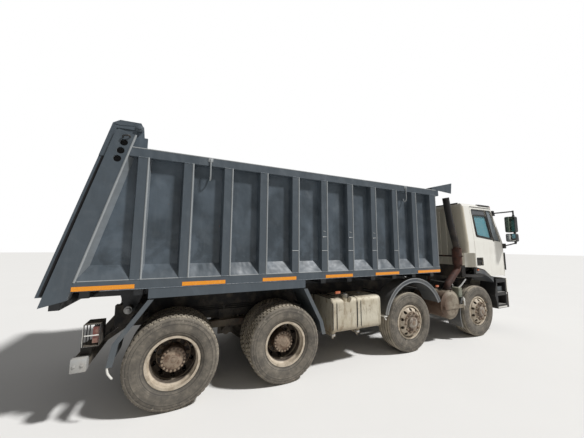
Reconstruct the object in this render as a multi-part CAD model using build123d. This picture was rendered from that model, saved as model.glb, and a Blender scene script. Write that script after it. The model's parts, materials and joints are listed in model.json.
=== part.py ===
from build123d import *
import os
from math import atan2, cos, degrees, hypot, radians, sin, sqrt

# Four-axle tipping truck. X points forward, Y to the driver's left, Z up.
# The origin lies on the ground in the middle of the truck. Sizes are millimetres.

# Axles and wheels
front_overhang = 1205
axle_gap_12 = 2063
axle_gap_23 = 2491
axle_gap_34 = 1431
tyre_diameter = 1050
tyre_width = 312
rim_radius = 286
flange_height = 15
flange_thickness = 12
rim_wall = 12
rim_width = 250
rim_offset = 170
disc_thickness = 12
disc_inner_radius = 118
nut_circle_radius = 167.5
nut_count = 10
hand_hole_radius = 27
hand_hole_circle = 222
front_track = 2060
rear_track = 1830
wheel_play = 0.3
spindle_radius = 38
kingpin_half_track = 850
kingpin_radius = 24
front_beam_drop = 95
front_beam_height = 90
front_beam_width = 84
drum_radius = 205
drum_width = 170
hub_cap_radius = 142
hub_cap_length = 215
front_cap_radius = 98
front_cap_length = 215
cap_bolt_count = 18
cap_bolt_radius = 9
axle_tube_radius = 74
diff_radius = 205
diff_width = 250
pinion_rise = 75
pinion_radius = 85
pinion_reach = 350
through_reach = 300
shaft_radius = 52
chamber_radius = 76
chamber_length = 170
chamber_half_track = 330
steer_arm_length = 170

# Chassis
rail_top = 1080
rail_height = 290
rail_width = 90
rail_wall = 9
frame_width = 850
frame_rear_overhang = 750
frame_front_setback = 260
crossmember_height = 200
crossmember_width = 70
subframe_height = 120
subframe_width = 80
bed_rest_gap = 6
leaf_thickness = 16
leaf_count = 6
front_spring_half = 780
front_spring_rise = 95
spring_width = 80
rear_spring_rise = 60
trunnion_radius = 60

# Bed
bed_half_width = 1250
post_depth = 85
panel_thickness = 6
post_pitch = 500
post_face = 108
post_base = 150
front_post_face = 165
front_post_inset = 30
bed_to_cab_gap = 960
bed_rail_low = 1401
bed_rail_height = 106
top_rail_low = 2932
top_rail_height = 110
top_rail_overhang = 80
sill_rise = 163
floor_plate = 8
sill_beam_height = 110
hinge_setback = 570
hinge_height = 1050
hinge_pin_radius = 32
hinge_pin_reach = 640
hinge_lug_thickness = 40
rear_post_foot_setback = 1030
rear_post_foot_height = 1320
rear_post_lean = 0.265
post_width = 205
post_box = 120
post_flank = 55
rear_post_top = 3190
post_hole_radius = 40
post_hole_pitch = 100
skirt_height = 115
skirt_thickness = 6
skirt_rear_setback = 300
skirt_front_reach = 1720
gate_gap = 8
gate_thickness = 60
gate_half_width = 1215
gate_low = 1360
gate_top = 3300
gate_pivot_height = 3290
gate_pivot_setback = 510
gate_pivot_radius = 16
gate_arm_thickness = 25
shield_reach = 520
shield_rise = 150
shield_plate = 6
reflector_height = 46
reflector_thickness = 4
# Start and end of each strip, from the rearmost axle forwards
reflector_spans = [(-1000, -440), (50, 560), (1060, 1570), (2070, 2580), (3060, 3600), (4080, 4700)]

# Hoist under the bed
hoist_base_reach = 1500
hoist_base_height = 930
hoist_eye_reach = 2700
hoist_eye_height = 1262
hoist_barrel_radius = 95
hoist_wall = 10
hoist_stage_wall = 8
hoist_sliding_gap = 0.5
hoist_barrel_length = 1000
hoist_pin_radius = 25

# Cab
cab_rear_setback = 325
cab_front_reach = 1140
cab_half_width = 1220
cab_roof_half_width = 1150
cab_bottom = 1240
cab_roof = 2880
cab_shoulder = 2000
cab_roof_front_setback = 360
cab_wall = 60
roof_rim = 80
rear_edge_round = 60
roof_front_round = 160
shoulder_round = 260
side_shoulder_round = 200
roof_edge_round = 90
nose_round_low = 150
nose_round_high = 60
rear_corner_round = 50
corner_cut_depth = 240
corner_cut_width = 150
corner_cut_top = 1770
form_margin = 1
door_gap = 8
door_rear_setback = 270
door_front_setback = 135
door_top_setback = 50
door_sill = 8
arch_step_height = 220
window_low = 2130
window_front_low = 2030
window_round = 30
glass_depth = 20
glass_thickness = 6
divider_width = 45
screen_low = 2060
screen_half_low = 1062
screen_half_high = 1045
tunnel_half = 400
tunnel_top = 1500
tunnel_wall = 30
wall_rib_pitch = 150
wall_rib_width = 60
grille_bars = 6
grille_bar_height = 34
grille_half = 820
grille_depth = 45
driver_y = 690
cab_pivot_setback = 40
cab_pivot_drop = 130
cab_pivot_radius = 22
mirror_middle = 1390
mirror_half = 100
mirror_depth = 100
mirror_round = 32
mirror_low = 2243
mirror_high = 2612
small_mirror_low = 2025
small_mirror_high = 2212
bumper_low = 520
bumper_high = 1170
bumper_depth = 170
bumper_wall = 8
bumper_end_depth = 110
bumper_end_width = 190
step_length = 470
step_depth = 330
step_gap = 15

# Tanks, exhaust and guards
tank_length = 970
tank_height = 510
tank_depth = 600
tank_outer = 1200
tank_low = 550
tank_setback = 784
tank_round = 70
strap_width = 64
strap_thickness = 5
battery_length = 720
silencer_radius = 275
silencer_height = 735
silencer_setback = 925
silencer_outer = 1200
silencer_length = 700
silencer_dome = 40
outlet_radius = 74
outlet_offset = 45
outlet_top = 1030
seat_gap = 0.3
stack_radius = 66
stack_half_track = 1085
stack_bend = 110
lagging_radius = 92
# Bends and end of the stack: forward of the silencer's middle, height
stack_points = [(440, 1440), (440, 1910), (288, 2400), (185, 2960)]
guard_thickness = 6
guard_flange = 60
guard_inner = 640

# Places along the truck
rear_overhang = (rear_post_foot_setback - (gate_low - rear_post_foot_height) * rear_post_lean
                 + post_width + gate_gap + gate_thickness)
overall_length = front_overhang + axle_gap_12 + axle_gap_23 + axle_gap_34 + rear_overhang
front_face = overall_length / 2
axle_1 = front_face - front_overhang
axle_2 = axle_1 - axle_gap_12
axle_3 = axle_2 - axle_gap_23
axle_4 = axle_3 - axle_gap_34
bogie = (axle_3 + axle_4) / 2
hub_height = tyre_diameter / 2
rail_outer = frame_width / 2
rail_low = rail_top - rail_height
subframe_top = rail_top + subframe_height
frame_rear = axle_4 - frame_rear_overhang
frame_front = front_face - frame_front_setback
cab_rear = axle_1 - cab_rear_setback
cab_front = axle_1 + cab_front_reach
bed_front = cab_rear - bed_to_cab_gap
bed_floor_top = bed_rail_low + floor_plate
panel_outer = bed_half_width - post_depth
panel_inner = panel_outer - panel_thickness
hinge_x = axle_4 - hinge_setback
gate_pivot_x = axle_4 - gate_pivot_setback
cab_pivot_x = cab_front - cab_pivot_setback
cab_pivot_z = cab_bottom - cab_pivot_drop
cab_split = cab_roof - roof_rim
tank_x0 = axle_3 + tank_setback
silencer_x = axle_1 - silencer_setback
step_front = front_face - bumper_depth - 2
step_rear = step_front - step_length


def block(x0, x1, y0, y1, z0, z1):
    """A box between two corners."""
    return Pos((x0 + x1) / 2, (y0 + y1) / 2, (z0 + z1) / 2) * Box(x1 - x0, y1 - y0, z1 - z0)


def rod_x(y, z, radius, x0, x1):
    return Pos((x0 + x1) / 2, y, z) * Rot(0, 90, 0) * Cylinder(radius, x1 - x0)


def rod_y(x, z, radius, y0, y1):
    return Pos(x, (y0 + y1) / 2, z) * Rot(90, 0, 0) * Cylinder(radius, y1 - y0)


def rod_z(x, y, radius, z0, z1):
    return Pos(x, y, (z0 + z1) / 2) * Cylinder(radius, z1 - z0)


def outline(points, radii):
    """A flat face from its corners, each rounded by its own radius. One number rounds them all."""
    face = make_face(Polyline(*points, close=True))
    if not isinstance(radii, list):
        return fillet(face.vertices(), radii) if radii else face
    for point, radius in zip(points, radii):
        if radius:
            face = fillet(face.vertices().sort_by_distance(point)[0], radius)
    return face


def side_plate(points, y0, y1, radii=0):
    """An outline of (x, z) corners in the side view, as thick as y0 to y1."""
    face = outline([(x, 0, z) for x, z in points], radii)
    return Pos(0, y0, 0) * extrude(face, amount=y1 - y0, dir=(0, 1, 0))


def front_plate(points, x0, x1, radii=0):
    """An outline of (y, z) corners in the front view, as thick as x0 to x1."""
    face = outline([(0, y, z) for y, z in points], radii)
    return Pos(x0, 0, 0) * extrude(face, amount=x1 - x0, dir=(1, 0, 0))


def floor_shape(points, z0, z1, radii=0):
    """An outline of (x, y) corners in the top view, as thick as z0 to z1."""
    face = outline([(x, y, 0) for x, y in points], radii)
    return Pos(0, 0, z0) * extrude(face, amount=z1 - z0, dir=(0, 0, 1))


def turned(profile, x, y, z):
    """A turned piece about a Y axis, from (distance outwards, radius) corners."""
    face = make_face(Polyline(*[(radius, out, 0) for out, radius in profile], close=True))
    return Pos(x, y, z) * revolve(face, axis=Axis.Y)


def left_of(shape):
    """The mirrored piece on the other side of the truck."""
    return mirror(shape, about=Plane.XZ)


def both(shape):
    return [shape, left_of(shape)]


def fused(shapes):
    result = shapes[0]
    for shape in shapes[1:]:
        result = result + shape
    return result


def save(name, shapes):
    """Write one node, of one or more solids."""
    solids = []
    for shape in shapes if isinstance(shapes, list) else [shapes]:
        solids.extend(shape.solids())
    export_step(solids[0] if len(solids) == 1 else Compound(children=solids), f"parts/{name}.step")


# Wheels
def tyre(y):
    """A tyre body on its rim, with flat sidewalls and a bevelled shoulder."""
    bead = rim_width / 2 - flange_thickness - wheel_play
    half = tyre_width / 2
    outer = tyre_diameter / 2
    shoulder = 22
    profile = [(-bead, rim_radius + wheel_play), (bead, rim_radius + wheel_play),
               (bead, rim_radius + flange_height + 8), (half, rim_radius + 95),
               (half - 8, outer - shoulder), (half - shoulder - 8, outer),
               (shoulder + 8 - half, outer), (8 - half, outer - shoulder),
               (-half, rim_radius + 95), (-bead, rim_radius + flange_height + 8)]
    return turned(profile, 0, y, 0)


def rim(y, side):
    """A rim and its dished disc. The disc stands out on the given side."""
    half = rim_width / 2
    lip = rim_radius + flange_height
    inner = rim_radius - rim_wall
    well = inner - 22
    barrel = turned([(-half, lip), (flange_thickness - half, lip), (flange_thickness - half, rim_radius),
                     (half - flange_thickness, rim_radius), (half - flange_thickness, lip), (half, lip),
                     (half, inner), (70, inner), (40, well), (-40, well), (-70, inner), (-half, inner)],
                    0, y, 0)
    face = rim_offset
    disc = turned([(side * (face - disc_thickness), disc_inner_radius), (side * face, disc_inner_radius),
                   (side * face, 200), (side * (face - 40), 246), (side * 62, inner),
                   (side * 50, inner - 6), (side * (face - 52), 234), (side * (face - disc_thickness), 196)],
                  0, y, 0)
    holes = [Rot(0, 360 * (i + 0.5) / nut_count, 0) * rod_y(hand_hole_circle, 0, hand_hole_radius,
                                                            y - 260, y + 260)
             for i in range(nut_count)]
    for hole in holes:
        disc = disc - hole
    return barrel + disc


def bolt_ring(count, circle, radius, y0, y1):
    return [Rot(0, 360 * i / count, 0) * rod_y(circle, 0, radius, y0, y1) for i in range(count)]


def single_wheel():
    """A steered wheel about its own hub, on the truck's left (Y outwards)."""
    face = rim_offset
    hub = turned([(-80, spindle_radius + wheel_play), (60, spindle_radius + wheel_play),
                  (60, 0), (front_cap_length, 0), (front_cap_length, front_cap_radius - 24),
                  (front_cap_length - 14, front_cap_radius), (face - disc_thickness, front_cap_radius),
                  (face - disc_thickness, 190), (face - disc_thickness - 20, 190),
                  (face - disc_thickness - 20, 120), (40, 110), (40, drum_radius),
                  (40 - drum_width, drum_radius), (40 - drum_width, drum_radius - 14),
                  (22, drum_radius - 14), (22, 96), (-80, 96)], 0, 0, 0)
    nuts = bolt_ring(nut_count, nut_circle_radius, 16, face - 1, face + 24)
    return fused([rim(0, 1), hub] + nuts)


def twin_wheel():
    """A driven pair on one hub, about the middle of the pair, Y outwards."""
    outer = rim(rim_offset, -1)
    inner = rim(-rim_offset, 1)
    cap = hub_cap_length
    bore = axle_tube_radius + wheel_play
    hub = turned([(-150, bore), (40, bore), (40, 0), (cap, 0), (cap, 60), (cap - 12, hub_cap_radius - 34),
                  (cap - 20, hub_cap_radius), (disc_thickness, hub_cap_radius), (disc_thickness, 190),
                  (-disc_thickness - 24, 190), (-disc_thickness - 24, drum_radius),
                  (-200, drum_radius), (-200, drum_radius - 14), (-60, drum_radius - 14),
                  (-60, bore + 16), (-150, bore + 16)], 0, 0, 0)
    nuts = bolt_ring(nut_count, nut_circle_radius, 16, disc_thickness - 1, disc_thickness + 26)
    bolts = bolt_ring(cap_bolt_count, hub_cap_radius - 16, cap_bolt_radius, cap - 20, cap - 8)
    return fused([outer, inner, hub] + nuts + bolts)


def knuckle():
    """A steering knuckle about its king pin, Y outwards."""
    reach = front_track / 2 - kingpin_half_track
    pin = rod_z(0, 0, kingpin_radius, -100, 100)
    ears = [rod_z(0, 0, 52, 62, 100), rod_z(0, 0, 52, -100, -62)]
    yoke = block(-42, 42, 58, 92, -100, 100)
    links = [block(-42, 42, 0, 92, 62, 100), block(-42, 42, 0, 92, -100, -62)]
    spindle = rod_y(0, 0, spindle_radius, 90, reach + 50)
    flange = rod_y(0, 0, 120, 76, 92)
    arm = block(-steer_arm_length, 0, -16, 16, -100, -72)
    return fused([pin, yoke, spindle, flange, arm] + ears + links)


def save_pair(name, shape, x, y):
    """Write a piece made with Y outwards as the node of the left and of the right side."""
    pieces = shape if isinstance(shape, list) else [shape]
    save(f"{name}_left", [Pos(x, y, hub_height) * one for one in pieces])
    save(f"{name}_right", [Pos(x, -y, hub_height) * left_of(one) for one in pieces])


wheel_one = single_wheel()
knuckle_one = knuckle()
for number, x in (("1", axle_1), ("2", axle_2)):
    save_pair(f"tyre_{number}", tyre(0), x, front_track / 2)
    save_pair(f"rim_{number}", wheel_one, x, front_track / 2)
    save_pair(f"knuckle_{number}", knuckle_one, x, kingpin_half_track)
twin = twin_wheel()
for number, x in (("3", axle_3), ("4", axle_4)):
    save_pair(f"tyres_{number}", [tyre(rim_offset), tyre(-rim_offset)], x, rear_track / 2)
    save_pair(f"rims_{number}", twin, x, rear_track / 2)


# Axles and springs
def front_beam(x):
    """A dropped beam with an eye for each king pin."""
    low = hub_height - front_beam_drop - front_beam_height / 2
    high = low + front_beam_height
    eye = kingpin_half_track
    corners = [(-eye, hub_height - 58), (-eye + 120, hub_height - 58), (-560, low), (560, low),
               (eye - 120, hub_height - 58), (eye, hub_height - 58), (eye, hub_height + 58),
               (eye - 90, hub_height + 58), (500, high), (-500, high), (90 - eye, hub_height + 58),
               (-eye, hub_height + 58)]
    beam = front_plate(corners, x - front_beam_width / 2, x + front_beam_width / 2)
    for sign in (1, -1):
        beam = beam + rod_z(x, sign * eye, 50, hub_height - 58, hub_height + 58)
        beam = beam - rod_z(x, sign * eye, kingpin_radius + wheel_play, hub_height - 80, hub_height + 80)
    return beam


def drive_axle(x, through):
    """An axle housing with its bowl, pinion nose and, on a through axle, a rear flange."""
    end = rear_track / 2 + 30
    tube = rod_y(x, hub_height, axle_tube_radius, -end, end)
    bowl = rod_y(x, hub_height, diff_radius, -diff_width / 2, diff_width / 2)
    nose = rod_x(0, hub_height + pinion_rise, pinion_radius, x, x + pinion_reach)
    pieces = [tube, bowl, nose]
    for sign in (1, -1):
        pieces.append(block(x - 75, x + 75, sign * 505 - 50, sign * 505 + 50, hub_height, hub_height + 85))
    for sign in (1, -1):
        y = sign * chamber_half_track
        pieces.append(rod_x(y, hub_height + 10, chamber_radius, x - 120 - chamber_length, x - 120))
        pieces.append(rod_x(y, hub_height + 10, chamber_radius + 8, x - 175, x - 160))
        pieces.append(rod_x(y, hub_height + 10, 24, x - 121, x - 40))
    if through:
        pieces.append(rod_x(0, hub_height + pinion_rise, pinion_radius - 10, x - through_reach, x))
    return fused(pieces)


save("front_axles", [front_beam(axle_1), front_beam(axle_2)])
save("drive_axles", [drive_axle(axle_3, True), drive_axle(axle_4, False)])


def leaf_pack(x, z, half, rise, y0, y1, upwards):
    """Stacked leaves, all bent to one radius. Shorter ones follow below or above."""
    radius = (half ** 2 + rise ** 2) / (2 * rise)
    way = 1 if upwards else -1
    pack = []
    for number in range(leaf_count):
        reach = half * (1 - 0.13 * number)
        lift = radius - sqrt(radius ** 2 - reach ** 2)
        base = z - way * number * leaf_thickness
        ends = [(x - reach, base + way * lift), (x, base), (x + reach, base + way * lift)]
        lower = ThreePointArc(*[(px, 0, pz) for px, pz in ends])
        upper = ThreePointArc(*[(px, 0, pz + leaf_thickness) for px, pz in ends])
        sides = [Line(lower @ 0, upper @ 0), Line(lower @ 1, upper @ 1)]
        face = make_face([lower, upper] + sides)
        pack.append(Pos(0, y0, 0) * extrude(face, amount=y1 - y0, dir=(0, 1, 0)))
    return fused(pack)


beam_top = hub_height - front_beam_drop + front_beam_height / 2
front_spring_z = beam_top + (leaf_count - 1) * leaf_thickness
rear_spring_z = hub_height + 85 + rear_spring_rise + seat_gap
springs = []
for x in (axle_1, axle_2):
    springs += both(leaf_pack(x, front_spring_z, front_spring_half, front_spring_rise,
                              rail_outer - spring_width, rail_outer, True))
rear_spring_half = axle_gap_34 / 2 + 60
springs += both(leaf_pack(bogie, rear_spring_z, rear_spring_half, rear_spring_rise,
                          505 - spring_width / 2, 505 + spring_width / 2, False))
save("springs", springs)


# Frame
def chassis_rail():
    """One channel rail, open towards the middle."""
    outer = block(frame_rear, frame_front, rail_outer - rail_width, rail_outer, rail_low, rail_top)
    hollow = block(frame_rear - 1, frame_front + 1, rail_outer - rail_width - 1, rail_outer - rail_wall,
                   rail_low + rail_wall, rail_top - rail_wall)
    return outer - hollow


inside = rail_outer - rail_wall
crossmember_places = [frame_rear + 60, bogie - 60, axle_2 - 520, axle_2 + 560, frame_front - 60]
chassis_pieces = both(chassis_rail())
for x in crossmember_places:
    chassis_pieces.append(block(x - crossmember_width / 2, x + crossmember_width / 2, -inside, inside,
                                rail_top - rail_wall - crossmember_height, rail_top - rail_wall))
# Spring hangers stand under the rails at both ends of each front spring
hanger_half = 45
hanger_low = front_spring_z + front_spring_rise + leaf_thickness / 2 - 30
for x in (axle_1, axle_2):
    for way in (-1, 1):
        middle = x + way * (front_spring_half + hanger_half)
        for y0 in (rail_outer - spring_width, -rail_outer):
            chassis_pieces.append(block(middle - hanger_half, middle + hanger_half, y0, y0 + spring_width,
                                        hanger_low, rail_low))
# The bogie's trunnion tube and its side brackets
trunnion_z = rear_spring_z - trunnion_radius - seat_gap
for y0, y1 in ((rail_outer - rail_wall, rail_outer + 30), (-rail_outer - 30, rail_wall - rail_outer)):
    chassis_pieces.append(block(bogie - 110, bogie + 110, y0, y1, trunnion_z - 70, rail_low + 120))
for y0, y1 in ((rail_outer, 550), (-550, -rail_outer)):
    chassis_pieces.append(rod_y(bogie, trunnion_z, trunnion_radius, y0, y1))
# Plates for the tipping hinge, at the back of the rails
for y in (rail_outer, -rail_outer - 24):
    chassis_pieces.append(side_plate([(frame_rear, rail_low + 40), (hinge_x + 140, rail_low + 40),
                                      (hinge_x + 190, rail_top), (frame_rear, rail_top)], y, y + 24))
chassis_pieces.append(rod_y(hinge_x, hinge_height, hinge_pin_radius, -hinge_pin_reach, hinge_pin_reach))
# Pivot brackets for the cab, at the front of the rails
for y in (rail_outer - 60, 20 - rail_outer):
    chassis_pieces.append(side_plate([(frame_front - 150, rail_low + 60), (frame_front, rail_low + 60),
                                      (cab_pivot_x + 35, cab_pivot_z - 25),
                                      (cab_pivot_x + 35, cab_pivot_z + 35),
                                      (cab_pivot_x - 40, cab_pivot_z + 35),
                                      (frame_front - 150, rail_top - 20)], y, y + 40))
chassis_pieces.append(rod_y(cab_pivot_x, cab_pivot_z, 22, -rail_outer - 90, rail_outer + 90))
# Trunnion bearers for the hoist, between the rails
hoist_base_x = axle_4 + hoist_base_reach
for y0, y1 in ((hoist_barrel_radius + 12, inside), (-inside, -hoist_barrel_radius - 12)):
    chassis_pieces.append(block(hoist_base_x - 60, hoist_base_x + 60, y0, y1, hoist_base_height - 60,
                                hoist_base_height + 60))
chassis_pieces.append(rod_y(hoist_base_x, hoist_base_height, hoist_pin_radius,
                            -hoist_barrel_radius - 20, hoist_barrel_radius + 20))
save("chassis_frame", fused(chassis_pieces))

# The tipping subframe lies on the rails, from behind the hoist's foot to the bed's front
subframe_rear = hinge_x + 200
subframe_pieces = both(block(subframe_rear, bed_front - 40, rail_outer - subframe_width, rail_outer,
                             rail_top, subframe_top))
for x in (subframe_rear + 60, bed_front - 900, bed_front - 90):
    subframe_pieces.append(block(x - 40, x + 40, subframe_width - rail_outer, rail_outer - subframe_width,
                                 rail_top, subframe_top - 10))
save("tipping_subframe", fused(subframe_pieces))

# Engine, gearbox and shafts
engine_rear = axle_1 - 480
engine_front = axle_1 + 610
engine = block(engine_rear, engine_front, -285, 285, rail_low - 130, cab_bottom + 130)
gearbox_rear = engine_rear - 900
shaft_z = hub_height + pinion_rise
gearbox = loft([Pos(engine_rear, 0, shaft_z + 140) * Rot(0, -90, 0) * Rectangle(460, 480),
                Pos(gearbox_rear, 0, shaft_z + 30) * Rot(0, -90, 0) * Rectangle(240, 240)])
powertrain = engine + gearbox
first_shaft = rod_x(0, shaft_z, shaft_radius, axle_3 + pinion_reach, gearbox_rear)
second_shaft = rod_x(0, shaft_z, shaft_radius, axle_4 + pinion_reach, axle_3 - through_reach)
save("powertrain", [powertrain, first_shaft, second_shaft])


# Bed
def post_line(z, forward=0):
    """The front edge of the leaning rear post at a height."""
    return axle_4 - rear_post_foot_setback + forward + (z - rear_post_foot_height) * rear_post_lean


def bed_side():
    """The left side: panel, posts, rails, sloping sill and the leaning rear post."""
    rail_high = bed_rail_low + bed_rail_height
    rail_top_z = top_rail_low + top_rail_height
    panel = side_plate([(post_line(bed_rail_low, -60), bed_rail_low), (bed_front, bed_rail_low),
                        (bed_front, rail_top_z), (post_line(rail_top_z, -60), rail_top_z)],
                       panel_inner, panel_outer)
    low_rail = side_plate([(post_line(bed_rail_low, -40), bed_rail_low), (bed_front, bed_rail_low),
                           (bed_front, rail_high), (post_line(rail_high, -40), rail_high)],
                          panel_outer, bed_half_width)
    high_rail = side_plate([(post_line(top_rail_low, -40), top_rail_low),
                            (bed_front + top_rail_overhang, top_rail_low),
                            (bed_front + top_rail_overhang, rail_top_z),
                            (post_line(rail_top_z, -40), rail_top_z)], panel_outer, bed_half_width)
    sill = front_plate([(panel_outer, rail_high), (bed_half_width, rail_high),
                        (panel_outer, rail_high + sill_rise)],
                       post_line(rail_high, 10), bed_front - 20)
    pieces = [panel, low_rail, high_rail, sill]
    front_edge = bed_front - front_post_inset
    face_rear = front_edge - front_post_face
    slope = (post_base - post_face) / 2
    faces = [(face_rear, front_edge)]
    place = face_rear - post_pitch
    while place > post_line(top_rail_low) + 20:
        faces.append((place, place + post_face))
        place = place - post_pitch
    for x0, x1 in faces:
        pieces.append(floor_shape([(x0 - slope, panel_outer), (x1 + slope, panel_outer),
                                   (x1, bed_half_width), (x0, bed_half_width)], rail_high, top_rail_low))
    low = rear_post_foot_height
    post = side_plate([(post_line(low), low), (post_line(rear_post_top), rear_post_top),
                       (post_line(rear_post_top, -post_width + 30), rear_post_top + 45),
                       (post_line(rear_post_top, -post_width), rear_post_top + 20),
                       (post_line(low - 60, -post_width), low - 60)],
                      bed_half_width - post_box, bed_half_width)
    pieces.append(post)
    # A sloping front flank runs from the post's outer face to the panel
    foot = post_line(rail_high)
    flank = outline([(foot - 1, bed_half_width, rail_high), (foot + post_flank, panel_outer, rail_high),
                     (foot - 1, panel_outer, rail_high)], 0)
    pieces.append(extrude(flank, amount=(top_rail_low - rail_high) * hypot(1, rear_post_lean),
                          dir=(rear_post_lean, 0, 1)))
    ear_high = gate_pivot_height + 36
    ear = side_plate([(gate_pivot_x - 60, rear_post_top - 60), (gate_pivot_x + 60, rear_post_top - 60),
                      (gate_pivot_x + 40, ear_high), (gate_pivot_x - 40, ear_high)],
                     bed_half_width - 90, bed_half_width - 60)
    pieces.append(ear)
    pieces.append(block(gate_pivot_x - 60, gate_pivot_x + 90, bed_half_width - 90, bed_half_width - 60,
                        rail_top_z - 20, rear_post_top))
    skirt = block(axle_4 - skirt_rear_setback, axle_4 + skirt_front_reach,
                  bed_half_width - skirt_thickness, bed_half_width,
                  bed_rail_low - skirt_height, bed_rail_low)
    pieces.append(skirt)
    side = fused(pieces)
    for number in range(3):
        z = rear_post_top - 110 - number * post_hole_pitch
        hole_x = post_line(z, -post_width / 2 + 15)
        side = side - rod_y(hole_x, z, post_hole_radius, panel_inner - 200, bed_half_width + 1)
    pin = rod_y(gate_pivot_x, gate_pivot_height, gate_pivot_radius,
                bed_half_width - 100, bed_half_width - 5)
    return side + pin


side_left = bed_side()
save("bed_side_left", side_left)
save("bed_side_right", left_of(side_left))

wall_x = bed_front - post_depth
sill_low = subframe_top + bed_rest_gap
sill_high = sill_low + sill_beam_height
floor_rear = post_line(bed_floor_top, 5 - post_width)
between_posts = bed_half_width - post_box
post_front = post_line(bed_floor_top, 2)
floor_pieces = [block(post_front, wall_x, -panel_inner, panel_inner, bed_rail_low, bed_floor_top),
                block(floor_rear, post_front, -between_posts, between_posts, bed_rail_low, bed_floor_top)]
for y0, y1 in ((rail_outer - subframe_width, rail_outer), (-rail_outer, subframe_width - rail_outer)):
    floor_pieces.append(block(floor_rear, bed_front - 60, y0, y1, sill_low, sill_high))
cross = bed_front - front_post_inset - front_post_face / 2
while cross > post_line(bed_floor_top) + 60:
    floor_pieces.append(block(cross - 45, cross + 45, -panel_outer + 15, panel_outer - 15,
                              sill_high, bed_rail_low))
    cross = cross - post_pitch
floor_pieces.append(block(floor_rear, floor_rear + 90, -between_posts, between_posts,
                          sill_low, bed_rail_low))
# Hinge lugs reach down outside the rails and turn on the hinge pin
for y0 in (rail_outer + 30, -rail_outer - 30 - hinge_lug_thickness):
    lug = side_plate([(hinge_x - 160, sill_high + 40), (hinge_x - 60, hinge_height - 40),
                      (hinge_x - 30, hinge_height - 62), (hinge_x + 30, hinge_height - 62),
                      (hinge_x + 62, hinge_height - 30), (hinge_x + 200, sill_high + 40)],
                     y0, y0 + hinge_lug_thickness)
    tie = block(hinge_x - 160, hinge_x + 200, y0, y0 + hinge_lug_thickness, sill_high - 60, bed_rail_low)
    inner_y = rail_outer - 10
    web = (block(hinge_x - 160, hinge_x + 200, inner_y, y0 + 1, sill_low + 20, sill_high + 60) if y0 > 0
           else block(hinge_x - 160, hinge_x + 200, y0 + hinge_lug_thickness - 1, -inner_y,
                      sill_low + 20, sill_high + 60))
    floor_pieces += [lug, tie, web]
bed_floor = fused(floor_pieces)
bed_floor = bed_floor - rod_y(hinge_x, hinge_height, hinge_pin_radius + wheel_play, -900, 900)
# Cheeks for the hoist's upper eye
hoist_eye_x = axle_4 + hoist_eye_reach
for y0 in (40, -70):
    bed_floor = bed_floor + block(hoist_eye_x - 60, hoist_eye_x + 60, y0, y0 + 30,
                                  hoist_eye_height - 45, bed_rail_low)
save("bed_floor", bed_floor)

# Front wall of the bed, with upright ribs towards the cab
wall_pieces = [block(wall_x, wall_x + panel_thickness, -panel_inner, panel_inner, bed_rail_low,
                     top_rail_low + top_rail_height)]
for z0, z1 in ((bed_rail_low, bed_rail_low + bed_rail_height),
               (top_rail_low, top_rail_low + top_rail_height)):
    wall_pieces.append(block(wall_x, bed_front, -panel_inner, panel_inner, z0, z1))
for number in range(5):
    y = (number - 2) * 460
    wall_pieces.append(floor_shape([(wall_x + panel_thickness - 1, y - 75), (bed_front, y - 54),
                                    (bed_front, y + 54), (wall_x + panel_thickness - 1, y + 75)],
                                   bed_rail_low + 20, top_rail_low + 20))
save("bed_front_wall", fused(wall_pieces))

# Small canopy over the gap to the cab
shield_z = top_rail_low + top_rail_height
shield_rear = bed_front - 110
shield_front = bed_front + shield_reach
cheek = [(shield_rear, shield_z), (shield_rear, shield_z + 50), (shield_front, shield_z + 50 + shield_rise),
           (shield_front - 35, shield_z - 25), (bed_front + top_rail_overhang + 2, shield_z)]
gusset = side_plate(cheek, bed_half_width - 8, bed_half_width)
roof_outline = [(shield_rear, shield_z + 50 - shield_plate), (shield_rear, shield_z + 50),
                (shield_front, shield_z + 50 + shield_rise),
                (shield_front, shield_z + 50 + shield_rise - shield_plate)]
roof = side_plate(roof_outline, -bed_half_width, bed_half_width)
upstand = block(shield_rear, shield_rear + 8, -bed_half_width, bed_half_width, shield_z, shield_z + 45)
shield = fused([roof, upstand] + both(gusset))
for y in (-620, 0, 620):
    shield = shield + side_plate([(shield_rear, shield_z), (shield_rear, shield_z + 46),
                                  (shield_front - 120, shield_z + 50 + shield_rise * 0.8),
                                  (bed_front - 4, shield_z)], y - 4, y + 4)
save("cab_shield", shield)

# Amber reflector strips on the lower rail, about one metre apart
reflectors = []
reflector_z = bed_rail_low + 8
for start, end in reflector_spans:
    x0 = axle_4 + start
    x1 = min(axle_4 + end, bed_front)
    reflectors += both(block(x0, x1, bed_half_width, bed_half_width + reflector_thickness,
                             reflector_z, reflector_z + reflector_height))
save("side_reflectors", reflectors)


# Tailgate
def gate_line(z, forward=0):
    """The front face of the closed gate at a height."""
    return post_line(z, -post_width - gate_gap + forward)


gate = side_plate([(gate_line(gate_low), gate_low), (gate_line(gate_top - 40), gate_top - 40),
                   (gate_line(gate_top - 40, -gate_thickness), gate_top - 40),
                   (gate_line(gate_low, -gate_thickness), gate_low)], -gate_half_width, gate_half_width)
pocket_columns = 4
pocket_rows = 3
rib = 70
pocket_width = (2 * gate_half_width - rib * (pocket_columns + 1)) / pocket_columns
pocket_height = (gate_top - 40 - gate_low - rib * (pocket_rows + 1)) / pocket_rows
for column in range(pocket_columns):
    for row in range(pocket_rows):
        y0 = -gate_half_width + rib + column * (pocket_width + rib)
        z0 = gate_low + rib + row * (pocket_height + rib)
        z1 = z0 + pocket_height
        gate = gate - side_plate([(gate_line(z0, -panel_thickness), z0),
                                  (gate_line(z1, -panel_thickness), z1),
                                  (gate_line(z1, -gate_thickness - 5), z1),
                                  (gate_line(z0, -gate_thickness - 5), z0)], y0, y0 + pocket_width)
arm_outer = bed_half_width - 28
arm_low = gate_top - 400
arm_bend = rear_post_top + 35
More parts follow.
